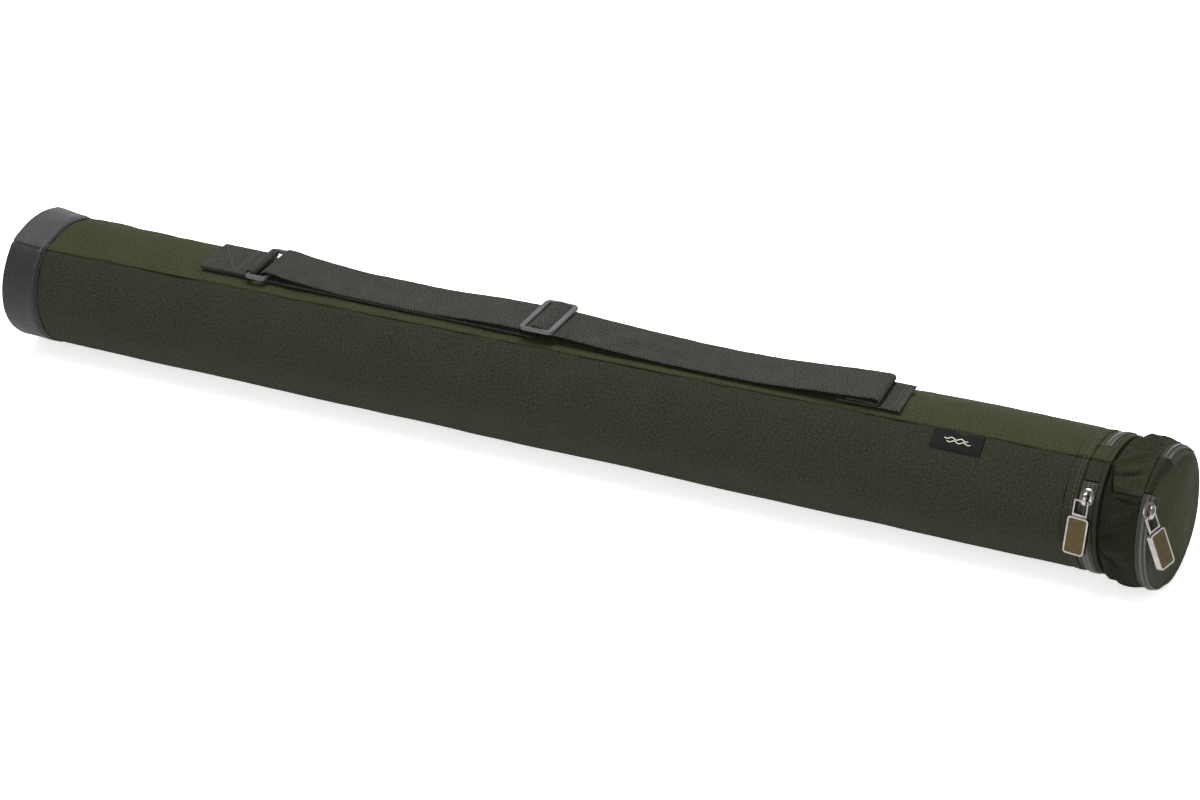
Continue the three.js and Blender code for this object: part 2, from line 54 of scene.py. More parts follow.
MM = 0.001
AXIS_Z = 50 * math.cos(math.radians(6)) * MM     # the tube's axis above the floor
RADIUS = 50 * MM
TUBE_OUTSIDE = 44 * MM
TUBE_INSIDE = 42 * MM
LINING = 44.4 * MM                               # inside of the padding
BASE_END = -477 * MM                             # the closed end's padding stands a little proud
BASE_RIM = 2.6 * MM                              # how much of the base's band rolls over its end
BAND_END = -448 * MM
FREE_END = 475 * MM
SLEEVE_END = 417.7 * MM
HEM_START = 407.4 * MM
HEM_STITCHES = (413.4 * MM, 415.8 * MM)
ZIP_A = 424.5 * MM
COLLAR = (429.5 * MM, 432.9 * MM)
GUSSET = (433.2 * MM, 462.0 * MM)
LID_FULLS = (434 * MM, 441 * MM)                 # where the case's shape turns into the lid's
ZIP_B = 468 * MM
ZIP_ANGLES = (44, 366)                           # the zips run from here round under the case
HINGE_ANGLES = (7, 43)
HINGE_MIDDLE = 25
SLIDER_ANGLE = 57
TOOTH_PITCH = 1.4 * MM
FOLD_COUNT = 26                                  # gathers round the lid
FOLD_SPACING = 13.85
LABEL_X = (302 * MM, 340 * MM)
LABEL_ANGLE = 35.2

WEB_HALF = 19 * MM
WEB_THICK = 1.5 * MM
LAYER_1 = 46.3 * MM                              # undersides of the webbing layers, above axis
LAYER_2 = 48.1 * MM
LAYER_3 = 49.9 * MM
LOWER_MIDDLE = LAYER_1 + WEB_THICK / 2
UPPER_MIDDLE = LAYER_2 + WEB_THICK / 2
STRAP_HUMP = 3.7 * MM                            # how far the free stretch rises to its slider
STRAP_FREE = (-150 * MM, 150 * MM)
GLIDE_X = -18.6 * MM
RING_X = (-267.2 * MM, -252.8 * MM)
RING_Z = 50.1 * MM


# ---- small helpers

def smooth(t):
    t = np.clip(t, 0.0, 1.0)
    return t * t * (3 - 2 * t)


def ramp(x, a, b):
    """0 at a and 1 at b, smoothly."""
    return smooth((x - a) / (b - a))


def bell(x, middle, half):
    """1 at the middle, dying away on both sides of it."""
    return np.exp(-((x - middle) / half) ** 2)


def lobe(theta, middle, half):
    """A bell round the case."""
    return bell((theta - middle + 180) % 360 - 180, 0, half)


def fade(distance, length):
    """1 at an edge, dying away from it."""
    return np.exp(-distance / length)


def power(value, exponent):
    """A signed power, which squares a circle off."""
    return np.sign(value) * np.abs(value) ** exponent


def wander(a, b, seed, octaves=2):
    """Smooth noise of about -0.5 to 0.5 over two coordinates that are already scaled."""
    a, b = np.broadcast_arrays(a, b)
    out = np.zeros(a.shape)
    flat = out.ravel()
    for i, (p, q) in enumerate(zip(a.ravel(), b.ravel())):
        total = 0.0
        for k in range(octaves):
            total += noise.noise(Vector((p * 2 ** k, q * 2 ** k, seed + 7.3 * k))) / 2 ** k
        flat[i] = total
    return flat.reshape(a.shape)


def spaced(count, edge=0.0):
    """Shares from 0 to 1, drawn closer to both ends as edge goes from 0 to 1."""
    t = np.linspace(0, 1, count)
    return (1 - edge) * t + edge * (0.5 - 0.5 * np.cos(np.pi * t))


def full_turn(count):
    """Angles all the way round, without the last one, which is the first again."""
    return np.linspace(0, 360, count + 1)[:-1]


def columns(*values):
    """Values of matching shapes, side by side in a last axis."""
    return np.stack(np.broadcast_arrays(*values), -1)


def off_floor(points, height):
    """The same points, none of them lower than this."""
    points[..., 2] = np.maximum(points[..., 2], height)
    return points


# ---- the case's cross-section

def seams(x):
    """Angles of the front and back seams at a station."""
    along = np.clip((x - BAND_END) / (SLEEVE_END - BAND_END), 0, 1)
    lid = ramp(x, *LID_FULLS)
    front = (36 - 12 * along) * (1 - lid) + 48 * lid
    back = -40 - 12 * along
    return front, back


def crown_control(front_z, back_z, crown):
    """Height of the middle control point that gives the top panel its highest point."""
    low, high = max(front_z, back_z), 3 * crown
    t = np.linspace(0, 1, 60)
    for _ in range(40):
        middle = (low + high) / 2
        top = ((1 - t) ** 2 * back_z + 2 * t * (1 - t) * middle + t * t * front_z).max()
        low, high = (middle, high) if top < crown else (low, middle)
    return low


def crown_rise(x):
    """The padded top stands higher towards the zipped end, in millimetres."""
    return 2.3 * float(ramp(x, 165 * MM, 260 * MM))


def swell(x, theta):
    """How far the soft shell stands out: a fuller back corner, and a lid fuller all round it."""
    lid = ramp(x, 434 * MM, 443 * MM)
    fuller = 3.4 * ramp(x, 190 * MM, 330 * MM) + 3.4 * lid - 5.6 * ramp(x, 452 * MM, 471 * MM)
    return (fuller * lobe(theta, -50, 32) + 4.3 * lid * lobe(theta, 132, 40)) * MM


sections = {}


def section(x):
    """Angle and radius tables of the outer surface at a station."""
    key = round(float(x) * 1e5)
    if key in sections:
        return sections[key]
    front, back = (float(v) for v in seams(x))
    lid = float(ramp(x, *LID_FULLS))
    crown = (46.0 + 1.2 * lid + crown_rise(x)) * MM
    low = np.linspace(front, 360 + back, 181)
    cosine = np.cos(np.radians(low))
    resting = np.where(cosine < -0.5, (AXIS_Z - 0.15 * MM) / np.maximum(-cosine, 0.5), 1.0)
    size = RADIUS - 0.5 * MM * lid + swell(x, low)
    low_radius = np.minimum(size, resting)
    a, b = math.radians(back), math.radians(front)
    y0, z0 = -size[-1] * math.sin(a), size[-1] * math.cos(a)
    y2, z2 = -size[0] * math.sin(b), size[0] * math.cos(b)
    z1 = crown_control(z2, z0, crown)
    t = np.linspace(0, 1, 61)
    y = y0 + (y2 - y0) * t
    z = (1 - t) ** 2 * z0 + 2 * t * (1 - t) * z1 + t * t * z2
    top = np.degrees(np.arctan2(-y, z)) + 360
    table = (np.concatenate([low, top[1:]]), np.concatenate([low_radius, np.hypot(y, z)[1:]]))
    sections[key] = table
    return table


def skin(x, theta):
    """Radius of the outer surface at one station, at any angles."""
    angles, radii = section(x)
    return np.interp((np.asarray(theta) - angles[0]) % 360 + angles[0], angles, radii)


def place(x, radius, theta):
    """The point at a station, a radius from the tube's axis and an angle."""
    a = np.radians(theta)
    return columns(x, -radius * np.sin(a), AXIS_Z + radius * np.cos(a))


def around(x, theta, lift=0.0):
    """Points and outward normals on the skin along a row of angles or stations."""
    x, theta = np.broadcast_arrays(np.asarray(x, float), np.asarray(theta, float))
    radius = np.array([skin(s, a) for s, a in zip(x, theta)]) + lift
    normal = place(np.zeros(len(x)), 1.0, theta) - np.array([0, 0, AXIS_Z])
    return off_floor(place(x, radius, theta), 0.6 * MM), normal


def stations_between(a, b, step, fine=0.8 * MM):
    """Stations along the case, closer together at both ends."""
    edge = np.array([0, 0.4, 1.0, 1.8, 3.0]) * fine / 0.4
    middle = np.linspace(a + edge[-1], b - edge[-1], max(2, int((b - a) / step)))
    return np.concatenate([a + edge[:-1], middle, (b - edge[:-1])[::-1]])


def panel_grid(x, lower, count, edge, gap=0.0):
    """Angles across the lower or upper panel, and how far each is from the panel's two seams."""
    front, back = seams(x)
    start, end = (front, 360 + back) if lower else (360 + back, 360 + front)
    theta = (start + gap)[:, None] + (end - start - 2 * gap)[:, None] * spaced(count, edge)
    arc = np.radians(theta - start[:, None]) * RADIUS
    other = np.radians(end[:, None] - theta) * RADIUS
    return theta, arc, other


# ---- mesh building

def make(name, points, faces, corners, material, crease=35):
    """A mesh object from points, faces and one (u, v) in metres for each face corner."""
    mesh = bpy.data.meshes.new(name)
    mesh.from_pydata([tuple(p) for p in points], [], faces)
    layer = mesh.uv_layers.new(name="cloth")
    layer.data.foreach_set("uv", np.asarray(corners, np.float32).ravel())
    mesh.polygons.foreach_set("use_smooth", [True] * len(mesh.polygons))
    mesh.materials.append(material)
    mesh.validate()
    mesh.update()
    mesh.set_sharp_from_angle(angle=math.radians(crease))
    obj = bpy.data.objects.new(name, mesh)
    SCENE.collection.objects.link(obj)
    return obj


def wall(name, outer, inner, uv, material, ring=False, crease=35):
    """A closed wall between two grids of points of the same size, its rims closed."""
    n, m = outer.shape[:2]
    points = np.concatenate([outer.reshape(-1, 3), inner.reshape(-1, 3)])
    faces, corners = [], []
    step = uv[0, 1] - uv[0, 0]
    depth = np.linalg.norm(outer - inner, axis=-1)

    def corner(layer, i, j):
        on_face = uv[i, j] if j < m else uv[i, m - 1] + step
        return on_face + layer * depth[i, j % m] * np.array([0.8, 0.6])

    def quad(*ends):
        faces.append([layer * n * m + i * m + j % m for layer, i, j in ends])
        corners.extend(corner(*end) for end in ends)

    turns = m if ring else m - 1
    for i in range(n - 1):
        for j in range(turns):
            quad((0, i, j), (0, i, j + 1), (0, i + 1, j + 1), (0, i + 1, j))
            quad((1, i, j), (1, i + 1, j), (1, i + 1, j + 1), (1, i, j + 1))
    for j in range(turns):
        quad((0, 0, j), (1, 0, j), (1, 0, j + 1), (0, 0, j + 1))
        quad((0, n - 1, j), (0, n - 1, j + 1), (1, n - 1, j + 1), (1, n - 1, j))
    if not ring:
        for i in range(n - 1):
            quad((0, i, 0), (0, i + 1, 0), (1, i + 1, 0), (1, i, 0))
            quad((0, i, m - 1), (1, i, m - 1), (1, i + 1, m - 1), (0, i + 1, m - 1))
    return make(name, points, faces, corners, material, crease)


def polar_wall(name, x, theta, lift, inside, material, ring=False):
    """A wall on the case's section: x stations, theta (n, m), lift above the skin, inner radius."""
    x = np.ravel(x)
    theta = np.broadcast_to(theta, (len(x), np.shape(theta)[-1]))
    outside = np.array([skin(s, row) for s, row in zip(x, theta)]) + lift
    outer = off_floor(place(x[:, None], outside, theta), 0.05 * MM)
    inner = place(x[:, None], np.minimum(inside, outside - 0.3 * MM), theta)
    uv = columns(x[:, None], np.radians(theta) * RADIUS)
    return wall(name, outer, inner, uv, material, ring)


def frames_along(path, up):
    """Tangent, side and normal at each point of a path, with the normals given or constant."""
    path = np.asarray(path, float)
    tangent = np.gradient(path, axis=0)
    tangent /= np.linalg.norm(tangent, axis=1)[:, None]
    up = np.broadcast_to(np.asarray(up, float), path.shape)
    side = np.cross(tangent, up)
    side /= np.linalg.norm(side, axis=1)[:, None]
    return tangent, side, np.cross(side, tangent)


def distance_along(path):
    """How far along the path each of its points lies."""
    return np.concatenate([[0], np.cumsum(np.linalg.norm(np.diff(path, axis=0), axis=1))])


def ribbon(name, path, half, thick, material, sag=None, skew=None):
    """Flat webbing swept along a path in the plane y = 0, with rounded, slightly uneven edges."""
    across = np.array([-1, -0.985, -0.94, -0.8, -0.6, -0.4, -0.2, 0, 0.2, 0.4, 0.6, 0.8, 0.94,
                       0.985, 1])
    depth = np.interp(np.abs(across), [0.94, 0.985, 1], [1, 0.75, 0.25])
    normal = np.cross(frames_along(path, (0, 1, 0))[0], (0, 1, 0))
    length = distance_along(path)
    uneven = 1 + 0.18 * MM / half * np.sin(2 * np.pi * length / (2.1 * MM))
    uneven = uneven + 0.035 * bell(path[:, 0], GLIDE_X, 13 * MM)
    y = across * half * uneven[:, None]
    base = path[:, None, :] + np.array([0, 1, 0]) * y[..., None]
    if sag is not None:
        base = base + sag(path[:, None, 0], y)[..., None] * normal[:, None, :]
    if skew is not None:
        base = base + skew(path[:, None, 0], y)[..., None] * np.array([1, 0, 0])
    flip = -1 if normal[len(normal) // 2][2] < 0 else 1
    offset = flip * (depth * thick / 2)[None, :, None] * normal[:, None, :]
    uv = columns(length[:, None], across * half)
    return wall(name, base + offset, base - offset, uv, material, crease=50)


def loft_faces(rings, sides, closed=False):
    """Faces between rings of points, with a cap at each end unless the row of rings closes."""
    faces = []
    for i in range(rings if closed else rings - 1):
        k = (i + 1) % rings
        for j in range(sides):
            j2 = (j + 1) % sides
            faces.append([i * sides + j, i * sides + j2, k * sides + j2, k * sides + j])
    if not closed:
        faces.append(list(range(sides))[::-1])
        faces.append([(rings - 1) * sides + j for j in range(sides)])
    return faces


def tube(path, radius, sides=5, closed=False, flat=1.0, up=(0.31, 0.52, 0.79)):
    """Points and faces of a round thread along a path."""
    _, side, normal = frames_along(path, up)
    turn = np.arange(sides) * 2 * np.pi / sides
    rim = (np.cos(turn)[None, :, None] * side[:, None]
           + flat * np.sin(turn)[None, :, None] * normal[:, None])
    points = (path[:, None] + radius * rim).reshape(-1, 3)
    return points, loft_faces(len(path), sides, closed)


def gather(name, parts, material, crease=40):
    """One object from many (points, faces) parts; its texture follows its own place."""
    faces = []
    count = 0
    for points, own_faces in parts:
        faces.extend([[i + count for i in face] for face in own_faces])
        count += len(points)
    points = np.concatenate([part[0] for part in parts])
    corners = [(points[i][0], points[i][1] + points[i][2]) for f in faces for i in f]
    return make(name, points, faces, corners, material, crease)


def finish_piece(obj, body, cad_node=None):
    """Puts the piece on the body it rides on and hides the CAD piece it stands for."""
    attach(obj, body)
    if cad_node:
        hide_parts(cad_node)


def stitches(name, path, normal, material, body, length=2.9 * MM):
    """A row of thread stitches on a surface: each rises from its hole and dips to the next."""
    gap, thick = 0.9 * MM, 0.27 * MM
    normal = np.broadcast_to(normal, path.shape)
    along = distance_along(path)
    count = max(1, int(along[-1] / (length + gap)))
    pitch = along[-1] / count
    rise = np.array([-1.0, 0.35, 0.7, 0.35, -1.0]) * thick
    parts = []
    for k in range(count):
        s = k * pitch + gap / 2 + (pitch - gap) * np.array([0, 0.12, 0.5, 0.88, 1.0])
        p = np.stack([np.interp(s, along, path[:, i]) for i in range(3)], -1)
        q = np.stack([np.interp(s, along, normal[:, i]) for i in range(3)], -1)
        parts.append(tube(p + rise[:, None] * q, thick, up=q[2] + 0.01))
    finish_piece(gather(name, parts, material), body)


def recalc(obj):
    """Turns every face outwards."""
    made = bmesh.new()
    made.from_mesh(obj.data)
    bmesh.ops.recalc_face_normals(made, faces=made.faces)
    made.to_mesh(obj.data)
    made.free()


# ---- materials

def shader(name, roughness, metallic=0.0, gloss=0.5):
    """A new material, its node tree and its surface shader."""
    material = bpy.data.materials.new(name)
    material.use_nodes = True
    principled = material.node_tree.nodes["Principled BSDF"]
    principled.inputs["Roughness"].default_value = roughness
    principled.inputs["Metallic"].default_value = metallic
    principled.inputs["Specular IOR Level"].default_value = gloss
    return material, material.node_tree, principled


def node(tree, kind, links=None, **values):
    """A new node, its sockets linked by number or name, its settings and constants by keyword."""
    made = tree.nodes.new(kind)
    for key, value in values.items():
        if hasattr(made, key):
            setattr(made, key, value)
        else:
            made.inputs[key].default_value = value
    for socket, source in (links or {}).items():
        tree.links.new(source, made.inputs[socket])
    return made


def maths(tree, kind, a, b=0.0):
    made = node(tree, "ShaderNodeMath", {0: a}, operation=kind)
    if isinstance(b, (int, float)):
        made.inputs[1].default_value = b
    else:
        tree.links.new(b, made.inputs[1])
    return made.outputs[0]


def sum_of(tree, *pairs):
    """The sum of some sources, each times its own share."""
    parts = [maths(tree, "MULTIPLY", source, share) for source, share in pairs]
    total = parts[0]
    for part in parts[1:]:
        total = maths(tree, "ADD", total, part)
    return total


def coordinates(tree, kind):
    return node(tree, "ShaderNodeTexCoord").outputs[kind]


def noise_of(tree, vector, scale, detail=2.0, roughness=0.5):
    return node(tree, "ShaderNodeTexNoise", {"Vector": vector}, Scale=scale, Detail=detail,
                Roughness=roughness).outputs["Fac"]


def drawn_out(tree, vector, scale, detail):
    """Noise of a different scale along each axis, which makes fine lines."""
    mapping = node(tree, "ShaderNodeMapping", {0: vector}, Scale=scale)
    return noise_of(tree, mapping.outputs[0], 1.0, detail)


def threads(tree, u, pitch):
    """A row of rounded threads across u, 0 between them and 1 on their crests."""
    turned = maths(tree, "MULTIPLY", u, math.pi / pitch)
    return maths(tree, "ABSOLUTE", maths(tree, "SINE", turned))


def paint(tree, principled, source, low, high, dark, light):
    """Colours the surface by a value: dark at low, light at high."""
    made = node(tree, "ShaderNodeValToRGB", {"Fac": source})
    for element, position, colour in zip(made.color_ramp.elements, (low, high), (dark, light)):
        element.position = position
        element.color = (*colour, 1)
    tree.links.new(made.outputs[0], principled.inputs["Base Color"])


def relief(tree, principled, height, strength, distance):
    bump = node(tree, "ShaderNodeBump", {"Height": height}, Strength=strength, Distance=distance)
    tree.links.new(bump.outputs[0], principled.inputs["Normal"])


def rough_between(tree, principled, source, low, high):
    """Roughness that follows a value of 0 to 1."""
    made = node(tree, "ShaderNodeMapRange", {0: source})
    made.inputs[3].default_value = low
    made.inputs[4].default_value = high
    tree.links.new(made.outputs[0], principled.inputs["Roughness"])


def woven(name, dark, light, pitch=0.55 * MM, depth=0.16 * MM, mottle=640, roughness=0.9):
    """Plain-weave polyester with a soft, mottled face."""
    material, tree, principled = shader(name, roughness, gloss=0.06)
    uv = coordinates(tree, "UV")
    split = node(tree, "ShaderNodeSeparateXYZ", {0: uv})
    warp = threads(tree, split.outputs[0], pitch)
    weft = threads(tree, split.outputs[1], pitch)
    checker = node(tree, "ShaderNodeTexChecker", {"Vector": uv}, Scale=1 / pitch).outputs["Fac"]
    weave = node(tree, "ShaderNodeMix", {0: checker, 2: warp, 3: weft}).outputs[0]
    fine = noise_of(tree, uv, mottle, 3.0, 0.65)
    broad = noise_of(tree, uv, 30)
    face = sum_of(tree, (fine, 0.78), (weave, 0.10), (broad, 0.08))
    paint(tree, principled, face, 0.36, 0.66, dark, light)
    relief(tree, principled, sum_of(tree, (weave, 0.6), (fine, 0.9)), 0.5, depth)
    return material


def leathercloth(name, dark, light):
    """Coated cloth with a fine pebbled grain."""
    material, tree, principled = shader(name, 0.5, gloss=0.22)
    uv = coordinates(tree, "UV")
    cells = node(tree, "ShaderNodeTexVoronoi", {"Vector": uv}, feature="DISTANCE_TO_EDGE",
                 Scale=900.0).outputs["Distance"]
    creases = node(tree, "ShaderNodeMapRange", {0: cells})
    creases.inputs[2].default_value = 0.22
    fine = noise_of(tree, uv, 620)
    paint(tree, principled, fine, 0.32, 0.68, dark, light)
    relief(tree, principled, sum_of(tree, (creases.outputs[0], 1.0), (fine, 0.3)), 0.6, 0.18 * MM)
    rough_between(tree, principled, fine, 0.42, 0.6)
    return material


def webbing(name, dark, light):
    """Twill-woven webbing: slanted ribs whose slant turns over every few millimetres."""
    material, tree, principled = shader(name, 0.8, gloss=0.08)
    uv = coordinates(tree, "UV")
    split = node(tree, "ShaderNodeSeparateXYZ", {0: uv})
    turned_over = maths(tree, "PINGPONG", split.outputs[1], 4.75 * MM)
    ribs = threads(tree, sum_of(tree, (turned_over, 1.3), (split.outputs[0], 1.0)), 2.5 * MM)
    cords = threads(tree, split.outputs[1], 1.2 * MM)
    fine = noise_of(tree, uv, 600, 3.0, 0.6)
    broad = noise_of(tree, uv, 60)
    face = sum_of(tree, (ribs, 0.42), (fine, 0.6), (broad, 0.15))
    paint(tree, principled, face, 0.45, 0.92, dark, light)
    relief(tree, principled, sum_of(tree, (ribs, 1.0), (cords, 0.5)), 1.0, 0.4 * MM)
    return material


def moulded(name, colour, roughness, grain=0.05 * MM, scale=600, wear=1.5):
    """Moulded plastic with a fine spark-eroded face, paler where it is rubbed."""
    material, tree, principled = shader(name, roughness, gloss=0.3)
    at = coordinates(tree, "Object")
    broad = noise_of(tree, at, 45)
    pale = tuple(min(1.0, c * wear) for c in colour)
    paint(tree, principled, broad, 0.35, 0.75, colour, pale)
    relief(tree, principled, noise_of(tree, at, scale, 3.0), 0.4, grain)
    rough_between(tree, principled, broad, roughness - 0.08, roughness + 0.1)
    return material


def plated(name, colour):
    """Nickel plate: bright, with faint clouding and fine scratches."""
    material, tree, principled = shader(name, 0.24, 1.0)
    at = coordinates(tree, "Object")
    cloud = noise_of(tree, at, 160, 3.0)
    darker = tuple(c * 0.72 for c in colour)
    paint(tree, principled, cloud, 0.35, 0.65, darker, colour)
    rough_between(tree, principled, cloud, 0.16, 0.34)
    relief(tree, principled, drawn_out(tree, at, (4000, 300, 300), 2.0), 0.15, 0.02 * MM)
    return material


def enamelled(name, dark, light):
    """Olive-bronze paint with a brushed, slightly worn face."""
    material, tree, principled = shader(name, 0.5, 0.1, 0.12)
    lines = drawn_out(tree, coordinates(tree, "Object"), (2400, 2400, 160), 3.0)
    paint(tree, principled, lines, 0.3, 0.7, dark, light)
    relief(tree, principled, lines, 0.3, 0.04 * MM)
    return material


def thread(name, colour, wear=1.6):
    return moulded(name, colour, 0.7, 0.02 * MM, 2500, wear)


# The olive cloth, then a paler copy of the same cloth painted light, for the tops of the sleeve and
# its rings and for the end panel.
OLIVE = woven("olive_fabric", (0.0088, 0.0095, 0.0060), (0.0262, 0.0288, 0.0176))
OLIVE_LIT = woven("olive_fabric_top", (0.0148, 0.0163, 0.0080), (0.0375, 0.0413, 0.0212))
# One leathercloth in two copies: the first darkened as painted shade, for the lower band, its piping
# and its end; the second paler, painted light, for the top.
GREY = leathercloth("grey_leathercloth", (0.0050, 0.0048, 0.0055), (0.0130, 0.0124, 0.0140))
GREY_LIT = leathercloth("grey_leathercloth_lit_copy", (0.017, 0.0166, 0.0188), (0.036, 0.0348, 0.0392))
# Two more copies of the olive cloth, darkened as painted shade of the lid's folds: the first, darker
# still, for the lid's lower wall, the second for its top and the flap's hinge.
LID_DEEP_SHADE = woven("olive_fabric_deep_shade_copy", (0.0040, 0.0044, 0.0026), (0.0135, 0.0148, 0.0088))
LID_SHADE = woven("olive_fabric_lid_shade_copy", (0.0080, 0.0088, 0.0048), (0.0255, 0.0280, 0.0160))
WEBBING = webbing("webbing", (0.0028, 0.0030, 0.0025), (0.0570, 0.0590, 0.0520))
TAPE = woven("zip_tape", (0.015, 0.0165, 0.0118), (0.044, 0.048, 0.036), 0.5 * MM, mottle=900)
# The coil is painted paler than the tape: a painted highlight for the sheen on its glossy turns.
COIL = moulded("zip_coil", (0.070, 0.074, 0.064), 0.36, 0.01 * MM, 900)
PLASTIC = moulded("moulded_plastic", (0.044, 0.045, 0.046), 0.40)
TUBE = moulded("stiff_plastic", (0.10, 0.11, 0.115), 0.45, 0.04 * MM, 300, 1.25)
NICKEL = plated("nickel", (0.255, 0.235, 0.228))
INLAY = enamelled("bronze_inlay", (0.034, 0.0230, 0.0074), (0.0655, 0.0450, 0.0153))
LABEL = woven("label_cloth", (0.003, 0.003, 0.0032), (0.010, 0.010, 0.0105), 0.3 * MM, 0.05 * MM,
              900, 0.7)
THREAD = thread("sewing_thread", (0.036, 0.041, 0.025))
GREY_THREAD = thread("grey_sewing_thread", (0.07, 0.07, 0.078), 1.5)
WEB_THREAD = thread("webbing_thread", (0.036, 0.038, 0.033))
MARK = moulded("label_mark", (0.42, 0.40, 0.33), 0.7, 0.03 * MM, 2500, 1.3)


# ---- tube, sleeve and base

def dress(cad_node, material):
    """A CAD piece that keeps its own shape and gets its real finish."""
    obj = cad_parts[cad_node]
    obj.data.materials.clear()
    obj.data.materials.append(material)
    return obj


def tube_skin():
    """The stiff tube, with a softened mouth edge."""
    x = np.array([-468.4, -467, 0, 400, 415.5, 417.0, 417.6])[:, None] * MM
    bevel = np.array([0.2, 0, 0, 0, 0, 0.15, 0.6])[:, None] * MM
    theta = full_turn(96)
    outer = place(x, TUBE_OUTSIDE - bevel, theta)
    inner = place(x, TUBE_INSIDE + bevel, theta)
    uv = columns(x, np.radians(theta) * TUBE_OUTSIDE)
    obj = wall("tube_skin", outer, inner, uv, TUBE, ring=True)
    finish_piece(obj, "case", "inner_tube")
    dress("tube_base_disc", TUBE)


def seam_relief(distance):
    """The dip and lips beside a sewn seam, by distance from it."""
    return (-1.5 * fade(distance, 0.9 * MM) + 0.35 * bell(distance, 3.6 * MM, 2.6 * MM)) * MM


def sleeve_panel(name, lower, material, cad_node, seed):
    """Lower or upper panel of the padded sleeve, with soft dents that gather at its seams."""
    x = stations_between(BAND_END + 1.2 * MM, HEM_START - 0.2 * MM, 5 * MM)
    theta, arc, other = panel_grid(x, lower, 92 if lower else 44, 0.55, 0.25)
    x = x[:, None]
    near = fade(np.minimum(arc, other), 14 * MM)
    soft = wander(x / (62 * MM), arc / (30 * MM), seed)
    small = wander(x / (24 * MM), arc / (14 * MM), seed + 3)
    lift = seam_relief(arc) + seam_relief(other)
    lift = lift + (0.7 * soft + (1.3 * small + 0.8 * soft) * near) * MM
    lift = lift - 0.9 * MM * (1 - ramp(x, x[0], x[0] + 3 * MM))
    lift = lift - 0.3 * MM * ramp(x, x[-1] - 2 * MM, x[-1])
    if not lower:
        lift = np.minimum(lift, 0.15 * MM)
    obj = polar_wall(name, x, theta, lift, LINING, material)
    finish_piece(obj, "case", cad_node)


def paint_lit_top(obj):
    """Painted light: the paler lit copy of the olive cloth between the sleeve's two seams, the plain
    olive cloth outside them.
    """
    obj.data.materials.clear()
    obj.data.materials.append(OLIVE)
    obj.data.materials.append(OLIVE_LIT)
    front, back = (float(v) for v in seams(HEM_START))
    for face in obj.data.polygons:
        angle = math.degrees(math.atan2(-face.center.y, face.center.z - AXIS_Z))
        face.material_index = int(back < angle < front)


def seam_across(theta):
    """The front seam's valley where it carries on across a ring of cloth."""
    front = float(seams(HEM_START)[0])
    return -2.2 * MM * bell(np.radians(theta - front) * RADIUS, 0, 0.95 * MM)


def cloth_ring(name, x, theta, lift, body, cad_node, inside):
    """A padded ring of cloth right round the case, in the sleeve's plain olive and, on its top, the
    paler lit copy, painted light.
    """
    obj = polar_wall(name, x, theta, lift + seam_across(theta), inside, OLIVE, ring=True)
    finish_piece(obj, body, cad_node)
    paint_lit_top(obj)


def mouth_hem():
    """The hem at the sleeve's mouth and its two rows of stitching."""
    x = stations_between(HEM_START, SLEEVE_END, 1.2 * MM, 0.4 * MM)[:, None]
    theta = full_turn(360)
    edge = -MM * (0.35 * fade(x - x[0], 0.8 * MM) + 1.9 * fade(x[-1] - x, 0.8 * MM))
    joined = 1 - 0.35 * bell(theta, HINGE_MIDDLE, 19) * (x > 412 * MM)
    raised = 0.25 * MM * bell(x, 411 * MM, 3 * MM)
    waves = 0.5 * MM * wander(x / (30 * MM), theta / 25, 5.0)
    lift = edge * joined + raised + waves - 0.15 * MM
    cloth_ring("mouth_hem_band", x, theta, lift, "case", "mouth_hem", LINING)
    for k, station in enumerate(HEM_STITCHES):
        path, normal = around(station, np.linspace(0, 360, 181), 0.02 * MM)
        stitches(f"mouth_hem_stitching_{k + 1}", path, normal, THREAD, "case")


def base_radius(x, theta):
    """How far the base's band stands off the case's section: fuller towards its closed end."""
    out = np.clip((BAND_END - x) / (BAND_END - BASE_END), 0, 1)
    return (0.5 + out * (3.6 + 1.4 * lobe(theta, 92, 28) - 5.2 * lobe(theta, 158, 46))) * MM


def base_panel(name, lower, cad_node, material):
    """Lower or upper part of the base's band, its rim rolled over and its other edge sewn down."""
    x = stations_between(BASE_END + 1.0 * MM, BAND_END - 0.6 * MM, 2 * MM, 0.5 * MM)
    theta, arc, other = panel_grid(x, lower, 84 if lower else 40, 0.5, 0.2)
    x = x[:, None]
    turned = np.clip((BASE_END + BASE_RIM - x) / BASE_RIM, 0, 1)
    rolled = BASE_RIM * 0.45 * (1 - np.sqrt(1 - 0.98 * turned ** 2))
    groove = bell(x, BAND_END - 2.1 * MM, 0.5 * MM) + bell(x, BAND_END - 0.4 * MM, 0.7 * MM)
    lip = bell(x, BAND_END - 5 * MM, 2 * MM)
    waves = wander(x / (22 * MM), theta / 22, 14.0)
    lift = 0.8 * (seam_relief(arc) + seam_relief(other)) - rolled + base_radius(x, theta)
    lift = lift + (0.35 * lip + 0.35 * waves - 0.8 * groove) * MM
    obj = polar_wall(name, x, theta, lift, LINING, material)
    finish_piece(obj, "case", cad_node)


